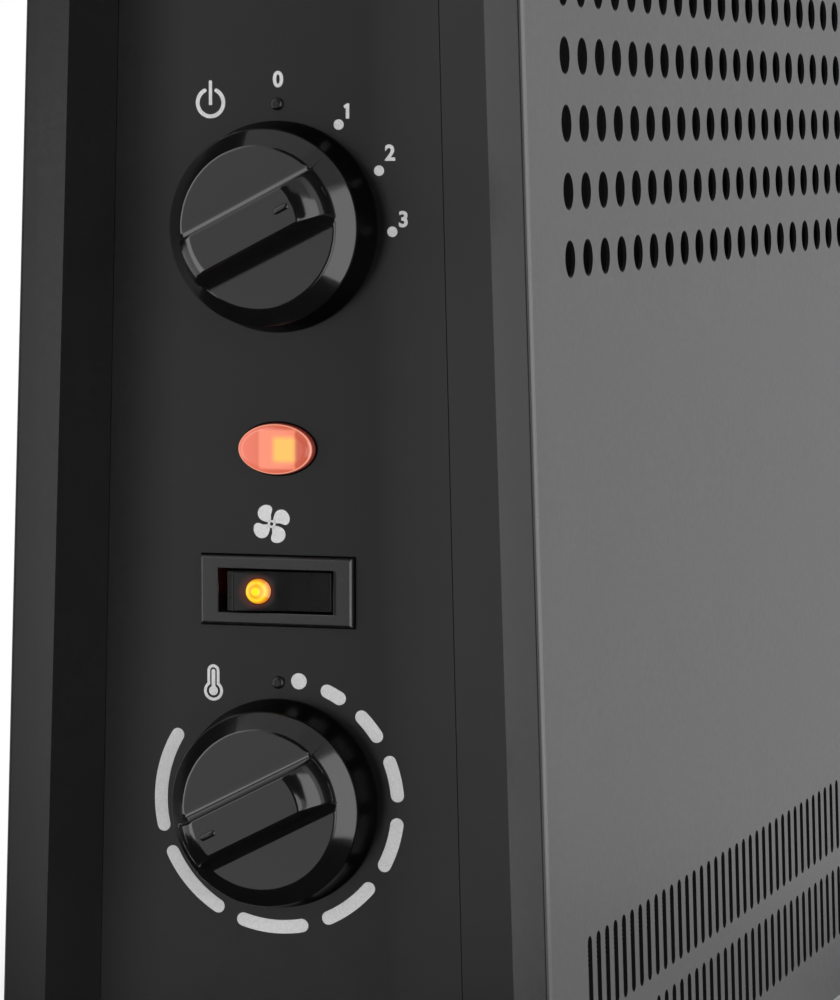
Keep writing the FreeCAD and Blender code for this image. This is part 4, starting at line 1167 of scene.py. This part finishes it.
# %% [markdown]
# ## Floor and world
#
# The floor is a plain pale plane that turns white away from the heater. The world is white to the camera
# and in reflections, dimmer overhead in mirrors, and softer for the light that falls on the heater. A Light
# Path node tells which kind of ray asks.

# %% Floor and world
FLOOR_HALF = 6
FLOOR_SHRINK = (0.5, 1, 1)
SHADOW_REACH = 0.22
WHITE = grey(1)
WORLD_LIGHT = 0.7
OVERHEAD_FROM = 0.57
OVERHEAD_TO = 0.87
OVERHEAD_DIM = 0.4


def rays(tree):
    """Whether a ray comes from the camera, and whether it comes off a mirror or through glass."""
    from_camera = made(tree, "ShaderNodeLightPath", output="Is Camera Ray")
    path = from_camera.socket.node.outputs
    glossy = Output(tree, path["Is Glossy Ray"])
    return from_camera, glossy.worked("MAXIMUM", Output(tree, path["Is Transmission Ray"]))


scene.view_settings.view_transform = "Standard"
floor_mesh = bpy.data.meshes.new("floor")
corners = [(-FLOOR_HALF, -FLOOR_HALF, 0), (FLOOR_HALF, -FLOOR_HALF, 0), (FLOOR_HALF, FLOOR_HALF, 0),
           (-FLOOR_HALF, FLOOR_HALF, 0)]
floor_mesh.from_pydata(corners, [], [(0, 1, 2, 3)])
floor = placed("floor", floor_mesh)
floor_finish = Finish("floor_finish", grey(0.86), roughness=0.8, specular=0.2)
dress(floor_mesh, floor_finish)
tree = floor_finish.tree
from_camera, in_mirrors = rays(tree)
place = made(tree, "ShaderNodeTexCoord", output="Object")
shrunk = made(tree, "ShaderNodeMapping", {"Vector": place, "Scale": FLOOR_SHRINK})
away = made(tree, "ShaderNodeVectorMath", {0: shrunk}, output="Value", operation="LENGTH")
far_off = away.mapped(SHADOW_REACH, 2 * SHADOW_REACH, smooth=True) * from_camera
pale = Output(tree, floor_finish.shader.outputs["BSDF"])
white = made(tree, "ShaderNodeEmission", {"Color": WHITE})
choice = {"Fac": far_off.worked("MAXIMUM", in_mirrors), 1: pale, 2: white}
fill(tree.nodes["Material Output"].inputs["Surface"], made(tree, "ShaderNodeMixShader", choice))
floor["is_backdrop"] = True

world = bpy.data.worlds.new("studio")
scene.world = world
world.use_nodes = True
tree = world.node_tree
tree.nodes.clear()
from_camera, in_mirrors = rays(tree)
towards = made(tree, "ShaderNodeTexCoord", output="Generated")
dimmed = parts_of(towards)[2].mapped(OVERHEAD_FROM, OVERHEAD_TO, 0, OVERHEAD_DIM) * in_mirrors
lit = made(tree, "ShaderNodeBackground", {"Color": WHITE, "Strength": WORLD_LIGHT})
seen = made(tree, "ShaderNodeBackground", {"Color": WHITE, "Strength": 1 - dimmed})
choice = {"Fac": in_mirrors.worked("MAXIMUM", from_camera), 1: lit, 2: seen}
fill(tree.nodes.new("ShaderNodeOutputWorld").inputs["Surface"], made(tree, "ShaderNodeMixShader", choice))
print("floor and world set")

# %% [markdown]
# ## Cards and lamps
#
# Soft lamps stand left, right and above. Black plastic shows little but mirrored surroundings, so plain
# cards, some dark and some bright, stand where a photographer puts flags and reflectors. Only mirror rays
# see them, so they shape the gloss and leave the light as it is. A place in the studio is a bearing round
# the control end, a distance from it and a height above the floor.

# %% Cards and lamps
AIM = Vector((-0.29, 0, 0.2))
LOW = 2 * MM


def around(bearing, distance, height):
    """A place round the control end. The bearing is in degrees to the left of straight out from it."""
    turn = math.radians(bearing)
    return Vector((AIM.x - distance * math.cos(turn), AIM.y + distance * math.sin(turn), height))


def mirror_card(name, level, *corners):
    """A card of one brightness between places round the control end. Only mirrors see it."""
    mesh = bpy.data.meshes.new(name)
    mesh.from_pydata([around(*corner) for corner in corners], [], [range(len(corners))])
    finish = Finish(name + "_finish", grey(0), roughness=1, specular=0)
    finish.give("Emission Color", WHITE)
    finish.give("Emission Strength", level)
    dress(mesh, finish)
    card = placed(name, mesh)
    card.visible_camera = False
    card.visible_diffuse = False
    card.visible_shadow = False
    card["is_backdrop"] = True


def upright_card(name, level, bearings, distance, heights):
    """A card that stands upright between two bearings and two heights."""
    first, last = bearings
    low, high = heights
    mirror_card(name, level, (first, distance, low), (last, distance, low), (last, distance, high),
                (first, distance, high))


def soft_lamp(name, place, target, wide, tall, power):
    """An area lamp that shines from a place to a target and shows neither itself nor its mirror image."""
    data = bpy.data.lights.new(name, "AREA")
    data.shape = "RECTANGLE"
    data.size = wide
    data.size_y = tall
    data.energy = power
    lamp = placed(name, data)
    lamp.location = place
    lamp.rotation_euler = (Vector(target) - place).to_track_quat("-Z", "Y").to_euler()
    lamp.visible_camera = False
    lamp.visible_glossy = False


upright_card("front_card", 0, bearings=(14.5, -14), distance=1.0, heights=(LOW, 1.5))
mirror_card("front_apron", 0, (12, 1.0, LOW), (-13, 1.0, LOW), (-13, 0.36, LOW), (10, 0.36, LOW))
mirror_card("foot_apron", 0, (38, 0.45, LOW), (-24, 0.4, LOW), (-62, 0.3, LOW), (-110, 0.22, LOW),
            (100, 0.4, LOW))
upright_card("camera_side_card", 0, bearings=(-14, -46), distance=1.35, heights=(0.36, 1.6))
upright_card("upper_right_card", 0.5, bearings=(-24, -78), distance=0.8, heights=(0.72, 1.7))
upright_card("rear_left_card", 0, bearings=(76, 150), distance=1.3, heights=(LOW, 2.4))
mirror_card("panel_apron", 0.65, (-132, 0.14, LOW), (-171, 0.8, LOW), (-148, 0.94, LOW), (-100, 0.5, LOW))
upright_card("left_board", 2.9, bearings=(72, 50), distance=0.36, heights=(LOW, 0.6))
mirror_card("camera_board", 2.7, (-15, 0.5, LOW), (-34, 0.5, LOW), (-32, 1.15, 0.34), (-15, 1.15, 0.34))
mirror_card("upper_left_board", 2.2, (35, 0.85, 0.75), (58, 0.85, 0.75), (58, 0.7, 1.3), (35, 0.7, 1.3))
mirror_card("right_board", 2.8, (-46, 0.3, LOW), (-92, 0.3, LOW), (-88, 0.42, 0.48), (-48, 0.42, 0.48))
soft_lamp("right_softbox", around(-61, 1.54, 0.25), AIM, wide=0.7, tall=1.5, power=18.6)
soft_lamp("left_softbox", around(63, 0.8, 0.45), AIM, wide=0.4, tall=0.9, power=3.1)
soft_lamp("top_softbox", AIM + Vector((0.6, -0.3, 1.6)), (0, 0, 0.2), wide=1.6, tall=1.0, power=15.5)
print("cards and lamps set")

# %% [markdown]
# ## Size of the dressed heater
#
# The size of the dressed heater is measured and printed, and kept beside that of the solid model.

# %% Measure and finish
dressed_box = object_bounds()
sizes = {"cad": [list(corner) for corner in cad_box], "visual": [list(corner) for corner in dressed_box]}
for corner in dressed_box:
    print("dressed model's corner", [round(place, 4) for place in corner])
